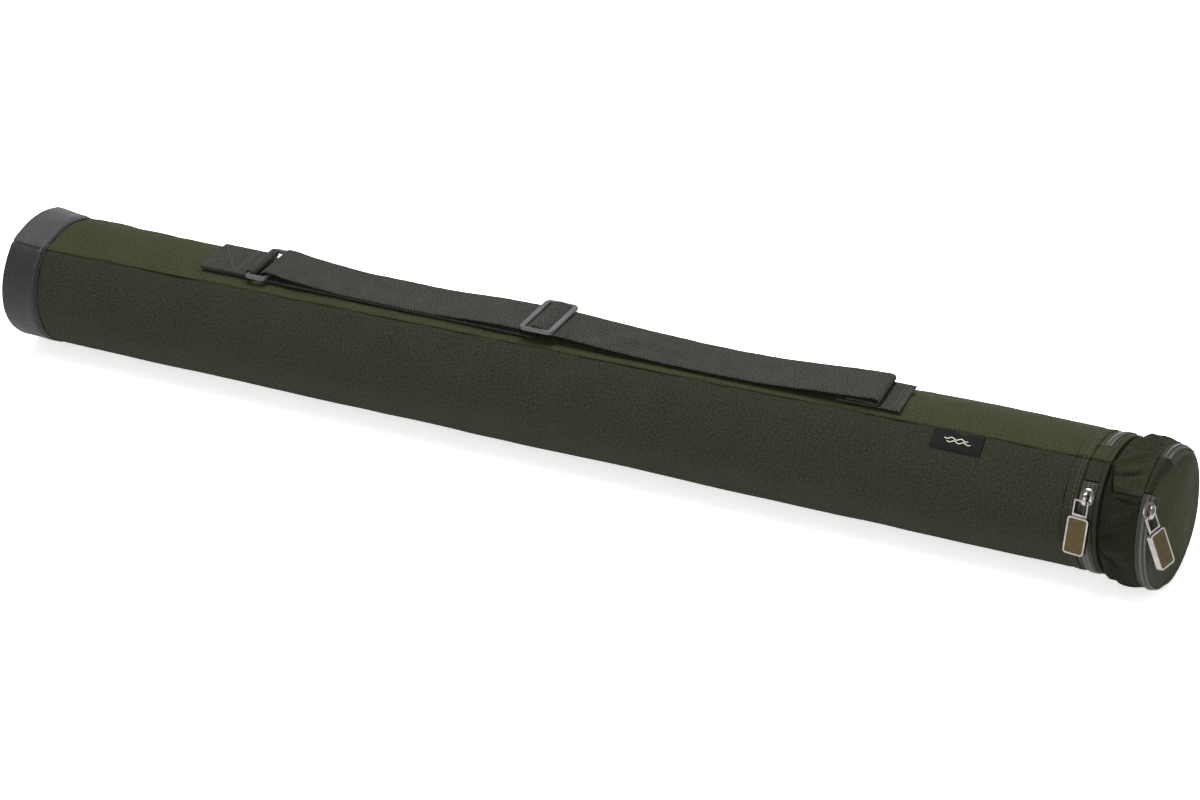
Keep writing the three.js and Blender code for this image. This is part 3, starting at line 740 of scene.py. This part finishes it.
def round_panel(name, x, size, outwards, thick, bulge, material, dent=None):
    """A round cloth panel that closes an end, its edge rolled over, as a closed shell."""
    share = np.concatenate([[0.02], np.linspace(0.12, 0.9, 14), [0.94, 0.97, 0.99, 1.0]])[:, None]
    theta = full_turn(120)
    radius = share * size(theta)
    roll = 1.6 * MM * (1 - np.sqrt(1 - np.clip((share - 0.9) / 0.1, 0, 0.995) ** 2))
    face = bulge * (1 - share ** 2) - roll
    bent = dent(radius, theta) if dent is not None else 0.0
    outer = off_floor(place(x + outwards * (face + bent), radius, theta), 0.1 * MM)
    inner = place(x + outwards * (np.minimum(face, 0) + bent - thick), radius, theta)
    inner = off_floor(inner, 0.1 * MM)
    if outwards < 0:
        outer, inner = outer[:, ::-1], inner[:, ::-1]
    obj = wall(name, outer, inner, outer[..., 1:], material, ring=True)
    close_hub(obj, *outer.shape[:2])
    return obj


def close_hub(obj, n, m):
    """Closes the small hole at a round panel's middle."""
    made = bmesh.new()
    made.from_mesh(obj.data)
    made.verts.ensure_lookup_table()
    doomed = [f for f in made.faces if all(v.index % (n * m) < m for v in f.verts)]
    bmesh.ops.delete(made, geom=doomed, context="FACES_ONLY")
    for layer in (0, 1):
        ring = [made.verts[layer * n * m + j] for j in range(m)]
        made.faces.new(ring if layer else ring[::-1]).smooth = True
    bmesh.ops.recalc_face_normals(made, faces=made.faces)
    made.to_mesh(obj.data)
    made.free()
    obj.data.update()


def base_rim(theta):
    return skin(BASE_END + 3 * MM, theta) - 1.5 * MM + 0.94 * base_radius(BASE_END, theta)


def base():
    """The leathercloth base: band, piping, end panel and their stitching."""
    # The lower band takes the darker copy of the leathercloth, painted shade; the top takes the
    # paler copy, painted light.
    base_panel("base_band_lower_cover", True, "base_band_lower", GREY)
    base_panel("base_band_top_cover", False, "base_band_top", GREY_LIT)
    path, _ = around(BAND_END + 0.4 * MM, full_turn(180), -0.35 * MM)
    piping = tube(off_floor(path, 0.8 * MM), 0.75 * MM, 8, closed=True, up=(1, 0, 0))
    finish_piece(gather("base_piping_cord", [piping], GREY), "case", "base_piping")
    theta = np.linspace(0, 360, 181)
    path, normal = around(BAND_END - 3.3 * MM, theta, 0.12 * MM)
    stitches("base_band_stitching", path, normal, GREY_THREAD, "case", 3.2 * MM)
    panel = round_panel("base_end_cover", BASE_END + 1.2 * MM, base_rim, -1, 1.2 * MM, 0.8 * MM,
                        GREY)
    finish_piece(panel, "case", "base_end_panel")
    path = place(BASE_END + 0.75 * MM, base_rim(theta) - 5 * MM, theta)
    stitches("base_end_stitching", path, (-1, 0, 0), GREY_THREAD, "case", 3.2 * MM)


def label():
    """A folded woven label, sewn on under the seam, with a plain ripple mark."""
    x = np.linspace(*LABEL_X, 20)[:, None]
    theta = LABEL_ANGLE + np.linspace(-8.2, 8.2, 11)
    across = np.linspace(-1, 1, 11)
    curl = 0.5 * (fade(x - x[0], 3 * MM) + fade(x[-1] - x, 3 * MM))
    lift = (0.75 + curl + 0.15 * np.sin(3 * across) - 0.35 * (np.abs(across) > 0.93)) * MM
    radius = np.array([skin(s, theta) for s in x[:, 0]]) + lift
    outer = place(x, radius + 0.5 * MM, theta)
    inner = place(x, radius - 0.5 * MM, theta)
    uv = columns(x, np.radians(theta) * RADIUS)
    obj = wall("woven_label", outer, inner, uv, LABEL, crease=60)
    finish_piece(obj, "case", "side_label")
    ripples = []
    for k in range(2):
        s = np.linspace(0, 1, 33)
        angle = 33.4 + 2.6 * k + 0.8 * np.sin(2 * np.pi * 2.5 * s)
        path, _ = around(LABEL_X[0] + (9 + 2.5 * k + 18 * s) * MM, angle, 1.3 * MM)
        ripples.append(tube(path, 0.3 * MM, 6, flat=0.5, up=(0, -0.6, 0.8)))
    finish_piece(gather("label_ripple_mark", ripples, MARK), "case")


# ---- zips

def tape(name, x0, x1, drop, body, cad_node):
    """One side of a zip's woven tape."""
    x = np.linspace(x0, x1, 8)[:, None]
    theta = np.linspace(*ZIP_ANGLES, 162)
    lift = -0.55 * MM + drop(x) + 0.15 * MM * wander(x / (9 * MM), theta / 9, 21.0)
    obj = polar_wall(name, x, theta, lift, 46.6 * MM + drop(x), TAPE)
    finish_piece(obj, body, cad_node)


def coil(name, x, drop, body, cad_node, phase):
    """A continuous nylon coil, one turn a tooth, round the zip's cord."""
    start, turned = ZIP_ANGLES[0] + 1, ZIP_ANGLES[1] - ZIP_ANGLES[0] - 2
    turns = int(math.radians(turned) * RADIUS / TOOTH_PITCH)
    t = np.linspace(0, turns, turns * 9 + 1)
    theta = start + turned * t / turns
    angle = 2 * np.pi * t + phase
    radius = skin(x, theta) + drop
    across = x + 1.15 * MM * power(np.cos(angle), 0.7)
    path = place(across, radius - 0.1 * MM + 0.62 * MM * np.sin(angle), theta)
    coiled = tube(off_floor(path, 0.4 * MM), 0.33 * MM, up=(1, 0, 0.02))
    middle = off_floor(place(x, radius[::9] - 0.25 * MM, theta[::9]), 0.8 * MM)
    core = tube(middle, 0.45 * MM, flat=1.5, up=(1, 0, 0.02))
    finish_piece(gather(name, [coiled, core], COIL), body, cad_node)


def no_drop(x):
    return 0.0 * x


def corner_drop(x):
    """Zip B lies round the corner: its flap side steps in towards the axis."""
    return -(0.25 * ramp(x, 463 * MM, 467 * MM) + 3.4 * ramp(x, 468 * MM, 474 * MM)) * MM


def tuck_corner(obj, x0, x1):
    """Slants the flap hinge's outer edge and tucks it in under the end panel."""
    for vertex in obj.data.vertices:
        angle = math.degrees(math.atan2(-vertex.co.y, vertex.co.z - AXIS_Z))
        share = (vertex.co.x - x0) / (x1 - x0)
        tucked = 2.6 * MM * float(ramp(share, 0.7, 1.0) * bell(angle, 24, 20))
        vertex.co.x -= 5.5 * MM * share * float(ramp(angle, -5, 35))
        vertex.co.y += tucked * math.sin(math.radians(angle))
        vertex.co.z -= tucked * math.cos(math.radians(angle))


def hinge_band(name, x0, x1, cad_node, drop):
    """The stretch of cloth that crosses a zip and hinges what the zip closes."""
    x = (x0 + (x1 - x0) * spaced(21, 0.6))[:, None]
    theta = np.linspace(*HINGE_ANGLES, 49)
    share = (x - x0) / (x1 - x0)
    puff = 0.1 * np.sin(np.pi * share) - 1.5 * fade(x - x0, 0.6 * MM) - 0.25 * (share > 0.97)
    lift = (puff + 0.4 * wander(x / (9 * MM), theta / 9, 31.0)) * MM + drop(x)
    beside_sleeve = x0 < GUSSET[0]
    if beside_sleeve:
        lift = lift + seam_across(theta)
    # The hinge's cloth is the olive copy darkened as painted shade; beside the sleeve it is swapped
    # for the plain cloth and its painted-light top copy.
    obj = polar_wall(name, x, theta, lift, 46.2 * MM + drop(x), LID_SHADE)
    if beside_sleeve:
        paint_lit_top(obj)
    else:
        tuck_corner(obj, x0, x1)
    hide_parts(cad_node)
    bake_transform(obj)


def zips():
    tape("zip_a_case_tape_cloth", 418.0 * MM, 424.4 * MM, no_drop, "case", "zip_a_case_tape")
    tape("zip_a_lid_tape_cloth", 424.6 * MM, 429.3 * MM, no_drop, "lid", "zip_a_lid_tape")
    coil("zip_a_case_coil_turns", 423.15 * MM, 0.0, "case", "zip_a_case_coil", 0.0)
    coil("zip_a_lid_coil_turns", 425.85 * MM, 0.0, "lid", "zip_a_lid_coil", math.pi)
    tape("zip_b_lid_tape_cloth", 462.3 * MM, 467.9 * MM, corner_drop, "lid", "zip_b_lid_tape")
    tape("zip_b_flap_tape_cloth", 468.1 * MM, 473.0 * MM, corner_drop, "flap", "zip_b_flap_tape")
    coil("zip_b_lid_coil_turns", 466.65 * MM, -0.25 * MM, "lid", "zip_b_lid_coil", 0.0)
    coil("zip_b_flap_coil_turns", 469.35 * MM, -0.9 * MM, "flap", "zip_b_flap_coil", math.pi)
    hinge_band("lid_hinge_band", 417.9 * MM, 429.3 * MM, "lid_hinge_fabric",
               no_drop)
    hinge_band("flap_hinge_band", 462.3 * MM, 472.8 * MM, "flap_hinge_fabric",
               corner_drop)
    theta = np.linspace(ZIP_ANGLES[0] + 1, ZIP_ANGLES[1] - 1, 150)
    for body, station in (("case", 419.6 * MM), ("lid", 428.4 * MM)):
        path, normal = around(station, theta, -0.5 * MM)
        stitches(f"zip_a_{body}_tape_stitching", path, normal, THREAD, body)


# ---- lid and end flap

def collar():
    """The stiff ring of cloth that the lid's zip is sewn to."""
    x = stations_between(*COLLAR, 0.6 * MM, 0.2 * MM)[:, None]
    theta = full_turn(360)
    edge = -0.9 * MM * (fade(x - x[0], 0.5 * MM) + fade(x[-1] - x, 0.9 * MM))
    joined = 1 - 0.8 * bell(theta, HINGE_MIDDLE, 19)
    lift = edge * joined + 0.5 * MM * wander(x / (30 * MM), theta / 20, 41.0)
    cloth_ring("lid_collar_band", x, theta, lift, "lid", "lid_collar", 43.0 * MM)


def fold_lines():
    """Where the lid's cloth is gathered: middle, slant, width, height and reach of each fold."""
    chance = np.random.default_rng(11)
    lines = []
    for k in range(FOLD_COUNT):
        angle = FOLD_SPACING * k + chance.uniform(-4, 4)
        slant = chance.uniform(-30, 30)
        width = chance.uniform(2.0, 4.2)
        height = chance.uniform(1.8, 3.2) * (0.9 if k % 2 else -1.3)
        middle = chance.uniform(0.35, 0.65)
        reach = chance.uniform(0.25, 0.5)
        lines.append((angle, slant, width, height, middle, reach))
    return lines


FOLDS = fold_lines()


def gusset_relief(x, theta, top):
    """The soft, unpadded wall of the lid: a tucked groove by the collar, sag and folds."""
    a, b = GUSSET
    groove = -3.6 * MM * bell(x, a + 0.9 * MM, 1.6 * MM)
    end = -0.8 * MM * fade(b - x, 0.8 * MM)
    free = ramp(x, a + 1.5 * MM, a + 5 * MM) * (1 - ramp(x, b - 5 * MM, b))
    sag = -(1.2 if top else 0.8) * MM * free
    share = (x - a) / (b - a)
    shape = 2.4 * wander(x / (16 * MM), theta / 20, 57.0 + top)
    for angle, slant, width, height, middle, reach in FOLDS:
        away = (theta - angle - slant * (share - middle) + 180) % 360 - 180
        line = bell(away, 0, width) if height > 0 else fade(np.abs(away), width)
        shape = shape + height * line * bell(share, middle, reach)
    return groove + end + sag + shape * (0.15 + 0.85 * free) * MM


def gusset(name, lower, material, cad_node):
    """Lower or upper part of the lid's soft wall: one thin cloth, calm beside its seams."""
    x = np.linspace(*GUSSET, 40)
    theta, arc, other = panel_grid(x, lower, 230 if lower else 100, 0.3)
    folded = gusset_relief(x[:, None], theta, not lower)
    plain = gusset_relief(x[:, None], np.zeros_like(theta), False)
    calm = ramp(np.minimum(arc, other), 0.0, 5 * MM)
    lift = calm * folded + (1 - calm) * 0.5 * plain
    lift = lift + 1.2 * (seam_relief(arc) + seam_relief(other))
    obj = polar_wall(name, x, theta, lift, 0.0, material)
    points = np.array([v.co for v in obj.data.vertices]).reshape(2, len(x), -1, 3)
    outward = points[0] - np.array([0, 0, AXIS_Z])
    outward[..., 0] = 0
    points[1] = points[0] - 1.1 * MM * outward / np.linalg.norm(outward, axis=-1)[..., None]
    obj.data.vertices.foreach_set("co", points.astype(np.float32).ravel())
    obj.data.update()
    finish_piece(obj, "lid", cad_node)


def end_outline(theta):
    """The end panel's outline: round, with a straight edge where its hinge folds."""
    turned = np.radians((theta - 22 + 180) % 360 - 180)
    straight = 42.3 * MM / np.maximum(np.cos(turned), 0.3)
    round_edge = (46.6 + 3.2 * lobe(theta, 162, 48) - 2.2 * lobe(theta, -70, 40)) * MM
    return np.minimum(round_edge, straight)


def lean(radius, theta):
    """How far the end panel leans back towards its hinge."""
    return 5.0 * MM * ramp(radius * np.cos(np.radians(theta - 32)), 8 * MM, 45 * MM)


def end_dent(radius, theta):
    """The panel leans, puckers at the bottom of its rim and is a little uneven in its middle."""
    low = lobe(theta, 175, 38) * ramp(radius, 28 * MM, 45 * MM)
    pucker = low * (wander(theta / 9, radius / (30 * MM), 61.0) - 0.9)
    y, z = radius * np.sin(np.radians(theta)), radius * np.cos(np.radians(theta))
    calm = 1 - ramp(radius, 30 * MM, 43 * MM)
    uneven = 0.9 * calm * wander(y / (30 * MM), z / (30 * MM), 66.0)
    return (pucker + uneven) * MM - lean(radius, theta)


def lid_and_flap():
    collar()
    # The lid's wall in copies of the olive cloth darkened as painted shade of its folds, the lower
    # one darker.
    gusset("lid_gusset_lower_cloth", True, LID_DEEP_SHADE, "lid_gusset_main")
    gusset("lid_gusset_upper_cloth", False, LID_SHADE, "lid_gusset_top")
    # The end panel takes the paler copy of the olive cloth, painted light.
    panel = round_panel("end_panel_cover", FREE_END - 1.0 * MM, end_outline, 1, 1.6 * MM,
                        1.2 * MM, OLIVE_LIT, end_dent)
    finish_piece(panel, "flap", "end_panel")
    lining = round_panel("end_panel_lining", FREE_END - 3.4 * MM,
                         lambda theta: end_outline(theta) - 1.6 * MM, -1, -0.9 * MM, -0.1 * MM,
                         LABEL, lean)
    finish_piece(lining, "flap", "end_panel_stiffener")


# ---- sliders and pulls

def slider_frame(x, radius, tilt):
    """A slider's frame: +X across the zip, -Y along its run, +Z outwards from the coils."""
    origin = Vector(place(x, radius, SLIDER_ANGLE))
    turn = Matrix.Rotation(math.radians(SLIDER_ANGLE), 4, "X")
    return Matrix.Translation(origin) @ turn @ Matrix.Rotation(math.radians(tilt), 4, "Y")


def slider_plate(under, wide):
    """The domed oval plate and its flanges, in millimetres."""
    turn = np.radians(full_turn(40))
    x, y = wide * power(np.cos(turn), 0.8), 6.2 * power(np.sin(turn), 0.9)
    levels = [(s, under + 1.0 + 0.9 * (1 - s ** 4)) for s in np.linspace(0, 1, 9)[1:]]
    levels += [(1.0, under + 0.45), (0.96, under), (0.6, under)]
    return np.concatenate([columns(x * s, y * s, z) for s, z in levels]), loft_faces(len(levels), 40)


def slider_bridge(under):
    """The arch that holds the pull, in millimetres."""
    corners = np.array([(4.4, 0.2), (4.1, 2.2), (2.9, 4.3), (0.8, 5.5), (-1.6, 5.6), (-4.0, 4.9),
                        (-5.6, 3.2), (-6.1, 1.4), (-5.6, 0.3)])
    fine = np.linspace(0, 8, 33)
    arch = np.stack([np.interp(fine, np.arange(9), corners[:, i]) for i in range(2)], -1)
    for _ in range(6):
        arch[1:-1] = (arch[:-2] + 2 * arch[1:-1] + arch[2:]) / 4
    path = columns(0.0, arch[:, 0], arch[:, 1] + under + 1.4)
    width = 1.75 - 0.45 * np.linspace(-1, 1, 33) ** 2
    outward = np.cross(frames_along(path, (1, 0, 0))[0], (1, 0, 0))
    turn = np.radians(full_turn(12))
    aside = columns(width[:, None] * power(np.cos(turn), 0.6), 0, 0)
    above = 0.62 * power(np.sin(turn), 0.8)[None, :, None] * outward[:, None]
    return (path[:, None] + aside + above).reshape(-1, 3), loft_faces(33, 12)


def slider(name, at, under, wide, body):
    obj = gather(name, [slider_plate(under, wide), slider_bridge(under)], NICKEL, 50)
    recalc(obj)
    obj.data.transform(at @ Matrix.Scale(MM, 4))
    finish_piece(obj, body, body)


def rounded(cad_node, material, width, segments=3):
    """A CAD piece that keeps its own shape, with softened edges and its real finish."""
    obj = dress(cad_node, material)
    obj.data.polygons.foreach_set("use_smooth", [True] * len(obj.data.polygons))
    bevel = obj.modifiers.new("edges", "BEVEL")
    bevel.width = width
    bevel.segments = segments
    bevel.limit_method = "ANGLE"
    bevel.angle_limit = math.radians(32)
    bevel.harden_normals = True


def pull_mark(name, at, body):
    """A plain raised mark on the pull's inlay: an open ring over three bars."""
    height = 2.02
    turn = np.linspace(0.5, 2 * np.pi - 0.5, 25)
    ring = columns(2.9 * np.sin(turn), -19.5 + 2.9 * np.cos(turn), height)
    parts = [tube(ring, 0.42, 6, flat=0.7, up=(0, 0, 1))]
    for y, half in ((-26.6, 3.8), (-29.0, 3.8), (-33.6, 4.6)):
        bar = columns(np.linspace(-half, half, 5), y, height)
        parts.append(tube(bar, 0.32, 6, flat=0.8, up=(0, 0, 1)))
    obj = gather(name, parts, INLAY)
    obj.data.transform(at @ Matrix.Scale(MM, 4))
    finish_piece(obj, body)


def turned_by(*turns):
    """A rotation made of turns in degrees about named axes, the first one outermost."""
    made = Matrix.Identity(4)
    for angle, axis in turns:
        made = made @ Matrix.Rotation(math.radians(angle), 4, axis)
    return made


def pull_frame_a(at):
    """Pull A hangs from its bar and lies against the case."""
    bar = at @ Vector((-2 * MM, -3.2 * MM, 5.4 * MM))
    y, z = bar.y, bar.z - AXIS_Z
    angle = math.degrees(math.atan2(-y, z))
    slope = math.degrees(math.acos((50 + 1.1 + 2.0) * MM / math.hypot(y, z)))
    return Matrix.Translation(bar) @ turned_by((angle + slope, "X"), (-4, "Z"))


def pull_frame_b(at):
    """Pull B hangs from its bar in front of the end panel."""
    bar = at @ Vector((0, -3.2 * MM, 6.1 * MM))
    return Matrix.Translation(bar) @ turned_by((-18, "Y"), (74, "Z"), (90, "X"))


def sliders_and_pulls():
    at_a = slider_frame(ZIP_A, RADIUS, 0)
    at_b = slider_frame(ZIP_B, RADIUS - 0.9 * MM, 42)
    slider("zip_a_slider_body", at_a, 1.5, 5.2, "zip_a_slider")
    slider("zip_b_slider_body", at_b, 2.2, 4.6, "zip_b_slider")
    for name in ("zip_a_pull", "zip_b_pull"):
        rounded(f"{name}_frame", NICKEL, 0.42 * MM)
        rounded(f"{name}_inlay", INLAY, 0.2 * MM, 2)
    pull_mark("zip_a_pull_raised_mark", pull_frame_a(at_a), "zip_a_pull")
    pull_mark("zip_b_pull_raised_mark", pull_frame_b(at_b), "zip_b_pull")


# ---- shoulder strap

def curve_through(points, count):
    """A smooth path through a few points (Catmull-Rom)."""
    p = np.array(points, float)
    p = np.concatenate([[2 * p[0] - p[1]], p, [2 * p[-1] - p[-2]]])
    out = []
    for i in range(1, len(p) - 2):
        a, b, c, d = p[i - 1:i + 3]
        for t in np.linspace(0, 1, count, endpoint=False):
            out.append(0.5 * ((2 * b) + (c - a) * t + (2 * a - 5 * b + 4 * c - d) * t ** 2
                              + (3 * b - a - 3 * c + d) * t ** 3))
    out.append(p[-2])
    return np.array(out)


def path_of(xz, count=8):
    xz = curve_through(xz, count)
    return columns(xz[:, 0], 0.0, AXIS_Z + xz[:, 1])


def arc_points(centre, radius, start, end, count):
    a = np.radians(np.linspace(start, end, count))
    return [(centre[0] + radius * math.cos(t), centre[1] + radius * math.sin(t)) for t in a]


def webbing_piece(name, points, body, cad_node, count=8, sag=None, skew=None):
    """A run of webbing through (x, height above the axis) points; if body is not a single name, the
    run is left unattached, its place baked into its shape.
    """
    path = path_of(points, count)
    obj = ribbon(name, path, WEB_HALF, WEB_THICK, WEBBING, sag, skew)
    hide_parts(cad_node)
    if isinstance(body, str):
        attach(obj, body)
    else:
        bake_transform(obj)


def anchor():
    """The tab sewn to the case, which folds back round the ring's bar."""
    low = RING_Z - 3.75 * MM + WEB_THICK / 2
    loop = arc_points((RING_X[0], RING_Z), 3.0 * MM, -80, 200, 12)
    bottom = [(x * MM, low) for x in (-311, -300, -289, -278, -271)]
    top = [(x * MM, low + WEB_THICK) for x in (-276, -284, -297, -311)]
    webbing_piece("anchor_tab_webbing", bottom + loop + top, "case", "anchor_tab",
                  5)
    z = AXIS_Z + low + WEB_THICK * 1.5 + 0.02 * MM
    along = np.linspace(0, 1, 40)
    rows = []
    for k, x in enumerate((-309.4, -281.6, -279.2)):
        rows.append((f"stitching_{k + 1}", x, -17 + 34 * along))
    for k, sign in enumerate((-1, 1)):
        rows.append((f"cross_{k + 1}", -308.5 + 26 * along, sign * (-16 + 32 * along)))
    for name, x, y in rows:
        stitches(f"anchor_tab_{name}", columns(x * MM, y * MM, z), (0, 0, 1), WEB_THREAD, "case")


def strap_left():
    """The run round the ring and back under itself."""
    x = RING_X[1]
    high = RING_Z + 4.6 * MM
    centre = (x, (high + LOWER_MIDDLE) / 2)
    over = [(STRAP_FREE[0], UPPER_MIDDLE), (-170 * MM, UPPER_MIDDLE),
            (-190 * MM, UPPER_MIDDLE + 0.2 * MM), (x + 22 * MM, high - 2.4 * MM),
            (x + 8 * MM, high - 0.3 * MM)]
    loop = arc_points(centre, (high - LOWER_MIDDLE) / 2, 90, 270, 9)
    back = [(v, LOWER_MIDDLE) for v in (x + 8 * MM, -220 * MM, -190 * MM, STRAP_FREE[0])]
    z = AXIS_Z + UPPER_MIDDLE
    webbing_piece("strap_left_loop", over + loop + back,
                  ("case", "strap", (x + 2 * MM, 0, z), (STRAP_FREE[0], 0, z)),
                  "strap_left_run")


def calm_ends(x, y):
    """The free stretch wavers and creases, but meets its two end runs flat."""
    free = (ramp(x, STRAP_FREE[0], STRAP_FREE[0] + 25 * MM)
            * (1 - ramp(x, STRAP_FREE[1] - 25 * MM, STRAP_FREE[1])))
    dished = -0.35 * (y / WEB_HALF) ** 2 + 0.5 * wander(x / (48 * MM), y / (30 * MM), 71.0)
    ridge = bell(y - 0.05 * (x - 60 * MM), 0, 1.6 * MM) * bell(x, 62 * MM, 40 * MM)
    valley = bell(y + 7 * MM + 0.04 * (x - 80 * MM), 0, 2.2 * MM) * bell(x, 85 * MM, 38 * MM)
    held = 1 - bell(x, GLIDE_X, 15 * MM)
    return (dished * held + 1.5 * ridge - 1.5 * valley) * free * MM


def strap_free():
    """The two layers between the end runs; the upper one rises to its three-bar slider."""
    lower = [(x, LOWER_MIDDLE) for x in (STRAP_FREE[0], -110 * MM, -70 * MM, GLIDE_X - 9 * MM)]
    lower.append((GLIDE_X - 3 * MM, LOWER_MIDDLE + 0.1 * MM))
    webbing_piece("strap_lower_layer", lower, "strap", "strap_return")
    rise = [(STRAP_FREE[0], 0), (-110 * MM, 0.16), (-70 * MM, 0.7), (-40 * MM, 0.95), (GLIDE_X, 1),
            (10 * MM, 0.86), (50 * MM, 0.32), (90 * MM, 0), (125 * MM, 0), (STRAP_FREE[1], 0)]
    upper = [(x, UPPER_MIDDLE + share * (STRAP_HUMP + 0.2 * MM)) for x, share in rise]
    webbing_piece("strap_upper_layer", upper, "strap", "strap_main",
                  sag=calm_ends)


def right_end_skew(x, y):
    """The strap's right end is sewn on a little askew."""
    return -0.1 * (y + 8 * MM) * ramp(x, 155 * MM, 225 * MM)


def strap_right():
    """The run up to the fold at the right end, its leg under it and the sewn patch below."""
    fold = 2.1 * MM
    fold_x = 256 * MM - fold - WEB_THICK / 2
    raised = UPPER_MIDDLE + (crown_rise(fold_x) + 0.2) * MM
    down = [(x * MM, UPPER_MIDDLE + rise * MM)
            for x, rise in ((150, 0), (165, 0.5), (190, 2.3), (222, 4.9))]
    down.append((fold_x - 5 * MM, raised + 2 * fold))
    turn = arc_points((fold_x, raised + fold), fold, 90, -90, 9)
    leg = [(fold_x - 8 * MM, raised), (230 * MM, raised)]
    z = AXIS_Z + UPPER_MIDDLE
    webbing_piece("strap_right_loop", down + turn + leg,
                  ("case", "strap", (220 * MM, 0, z), (STRAP_FREE[1], 0, z)),
                  "strap_right_run", skew=right_end_skew)
    patch = [(x * MM, LOWER_MIDDLE + crown_rise(x * MM) * MM) for x in (222, 238.5, 255, 271.5)]
    webbing_piece("anchor_patch_webbing", patch, "case", "anchor_patch",
                  skew=right_end_skew)
    y = np.linspace(-17, 17, 40) * MM
    for k, x in enumerate((264.9 * MM, 269.1 * MM)):
        height = AXIS_Z + LAYER_1 + WEB_THICK + crown_rise(x) * MM
        path = columns(x + right_end_skew(x, y), y, height)
        stitches(f"anchor_patch_stitching_{k + 1}", path, (0, 0, 1), WEB_THREAD, "case")


def glide_and_ring():
    """The ring, the three-bar slider and the webbing over its middle bar."""
    rounded("strap_ring", PLASTIC, 0.5 * MM)
    rounded("tri_glide", PLASTIC, 0.45 * MM)
    crest = LAYER_3 + STRAP_HUMP + 3.3 * MM + WEB_THICK / 2
    low = LAYER_3 + STRAP_HUMP + 1.0 * MM
    half_arch = [(9.3, low - 0.9 * MM), (6.6, low + 0.9 * MM), (2.6, crest - 0.2 * MM)]
    arch = ([(GLIDE_X - x * MM, z) for x, z in half_arch] + [(GLIDE_X, crest + 0.1 * MM)]
            + [(GLIDE_X + x * MM, z) for x, z in half_arch[::-1]])
    obj = ribbon("strap_bar_wrap_webbing", path_of(arch), WEB_HALF + 0.7 * MM, WEB_THICK, WEBBING)
    finish_piece(obj, "tri_glide", "strap_bar_wrap")


# ---- studio

def floor():
    """A pale floor that curves up into a backdrop far behind the case."""
    material, _, principled = shader("studio_floor", 0.9)
    principled.inputs["Base Color"].default_value = (0.93, 0.93, 0.93, 1)
    principled.inputs["Emission Color"].default_value = (1, 1, 1, 1)
    principled.inputs["Emission Strength"].default_value = 0.6
    n = 24
    points = [(x, y, 1.2 * max(0.0, y - 3.0) ** 2)
              for y in np.linspace(-3, 6, n) for x in np.linspace(-4, 4, n)]
    faces = [[i * n + j, i * n + j + 1, (i + 1) * n + j + 1, (i + 1) * n + j]
             for i in range(n - 1) for j in range(n - 1)]
    mesh = bpy.data.meshes.new("studio_floor")
    mesh.from_pydata(points, [], faces)
    mesh.polygons.foreach_set("use_smooth", [True] * len(faces))
    mesh.materials.append(material)
    obj = bpy.data.objects.new("studio_floor", mesh)
    SCENE.collection.objects.link(obj)


def softbox(name, at, towards, size, power_in_watts):
    light = bpy.data.lights.new(name, "AREA")
    light.shape = "RECTANGLE"
    light.size, light.size_y = size
    light.energy = power_in_watts
    obj = bpy.data.objects.new(name, light)
    obj.location = at
    obj.rotation_mode = "QUATERNION"
    obj.rotation_quaternion = (Vector(towards) - Vector(at)).to_track_quat("-Z", "Y")
    SCENE.collection.objects.link(obj)


def studio():
    floor()
    world = bpy.data.worlds.new("studio")
    world.use_nodes = True
    world.node_tree.nodes["Background"].inputs[0].default_value = (1.0, 1.0, 1.0, 1)
    world.node_tree.nodes["Background"].inputs[1].default_value = 0.52
    SCENE.world = world
    SCENE.view_settings.view_transform = "Standard"
    softbox("key_light", (0.0, 0.1, 2.35), (0.1, 0, 0), (1.5, 0.9), 88)
    softbox("front_fill", (0.0, -2.4, 1.0), (0, 0, 0), (1.6, 1.0), 26)


def camera():
    """A long lens in front of the case, round to its zipped end and above it."""
    azimuth, elevation, roll = (math.radians(v) for v in (29.34, 29.72, -3.37))
    distance = 3.239
    target = Vector((0.0202, 0, AXIS_Z - 0.0066))
    back = Vector((math.sin(azimuth) * math.cos(elevation),
                   -math.cos(azimuth) * math.cos(elevation), math.sin(elevation)))
    right = Vector((0, 0, 1)).cross(back).normalized()
    up = back.cross(right)
    rolled_right = right * math.cos(roll) + up * math.sin(roll)
    rolled_up = -right * math.sin(roll) + up * math.cos(roll)
    data = bpy.data.cameras.new("view_camera")
    data.lens = 131.37
    data.sensor_width = 36
    data.clip_end = 100
    obj = bpy.data.objects.new("view_camera", data)
    turn = Matrix((rolled_right, rolled_up, back)).transposed().to_4x4()
    obj.matrix_world = Matrix.Translation(target + back * distance) @ turn
    SCENE.collection.objects.link(obj)
    SCENE.camera = obj


tube_skin()
# The sleeve's lower panel in the plain olive cloth; its upper panel in the paler copy, painted light
# on the top.
sleeve_panel("sleeve_lower_panel", True, OLIVE, "sleeve_main_panel", 2.0)
sleeve_panel("sleeve_upper_panel", False, OLIVE_LIT, "sleeve_top_panel", 9.0)
mouth_hem()
base()
label()
zips()
lid_and_flap()
sliders_and_pulls()
anchor()
strap_left()
strap_free()
strap_right()
glide_and_ring()
studio()
camera()
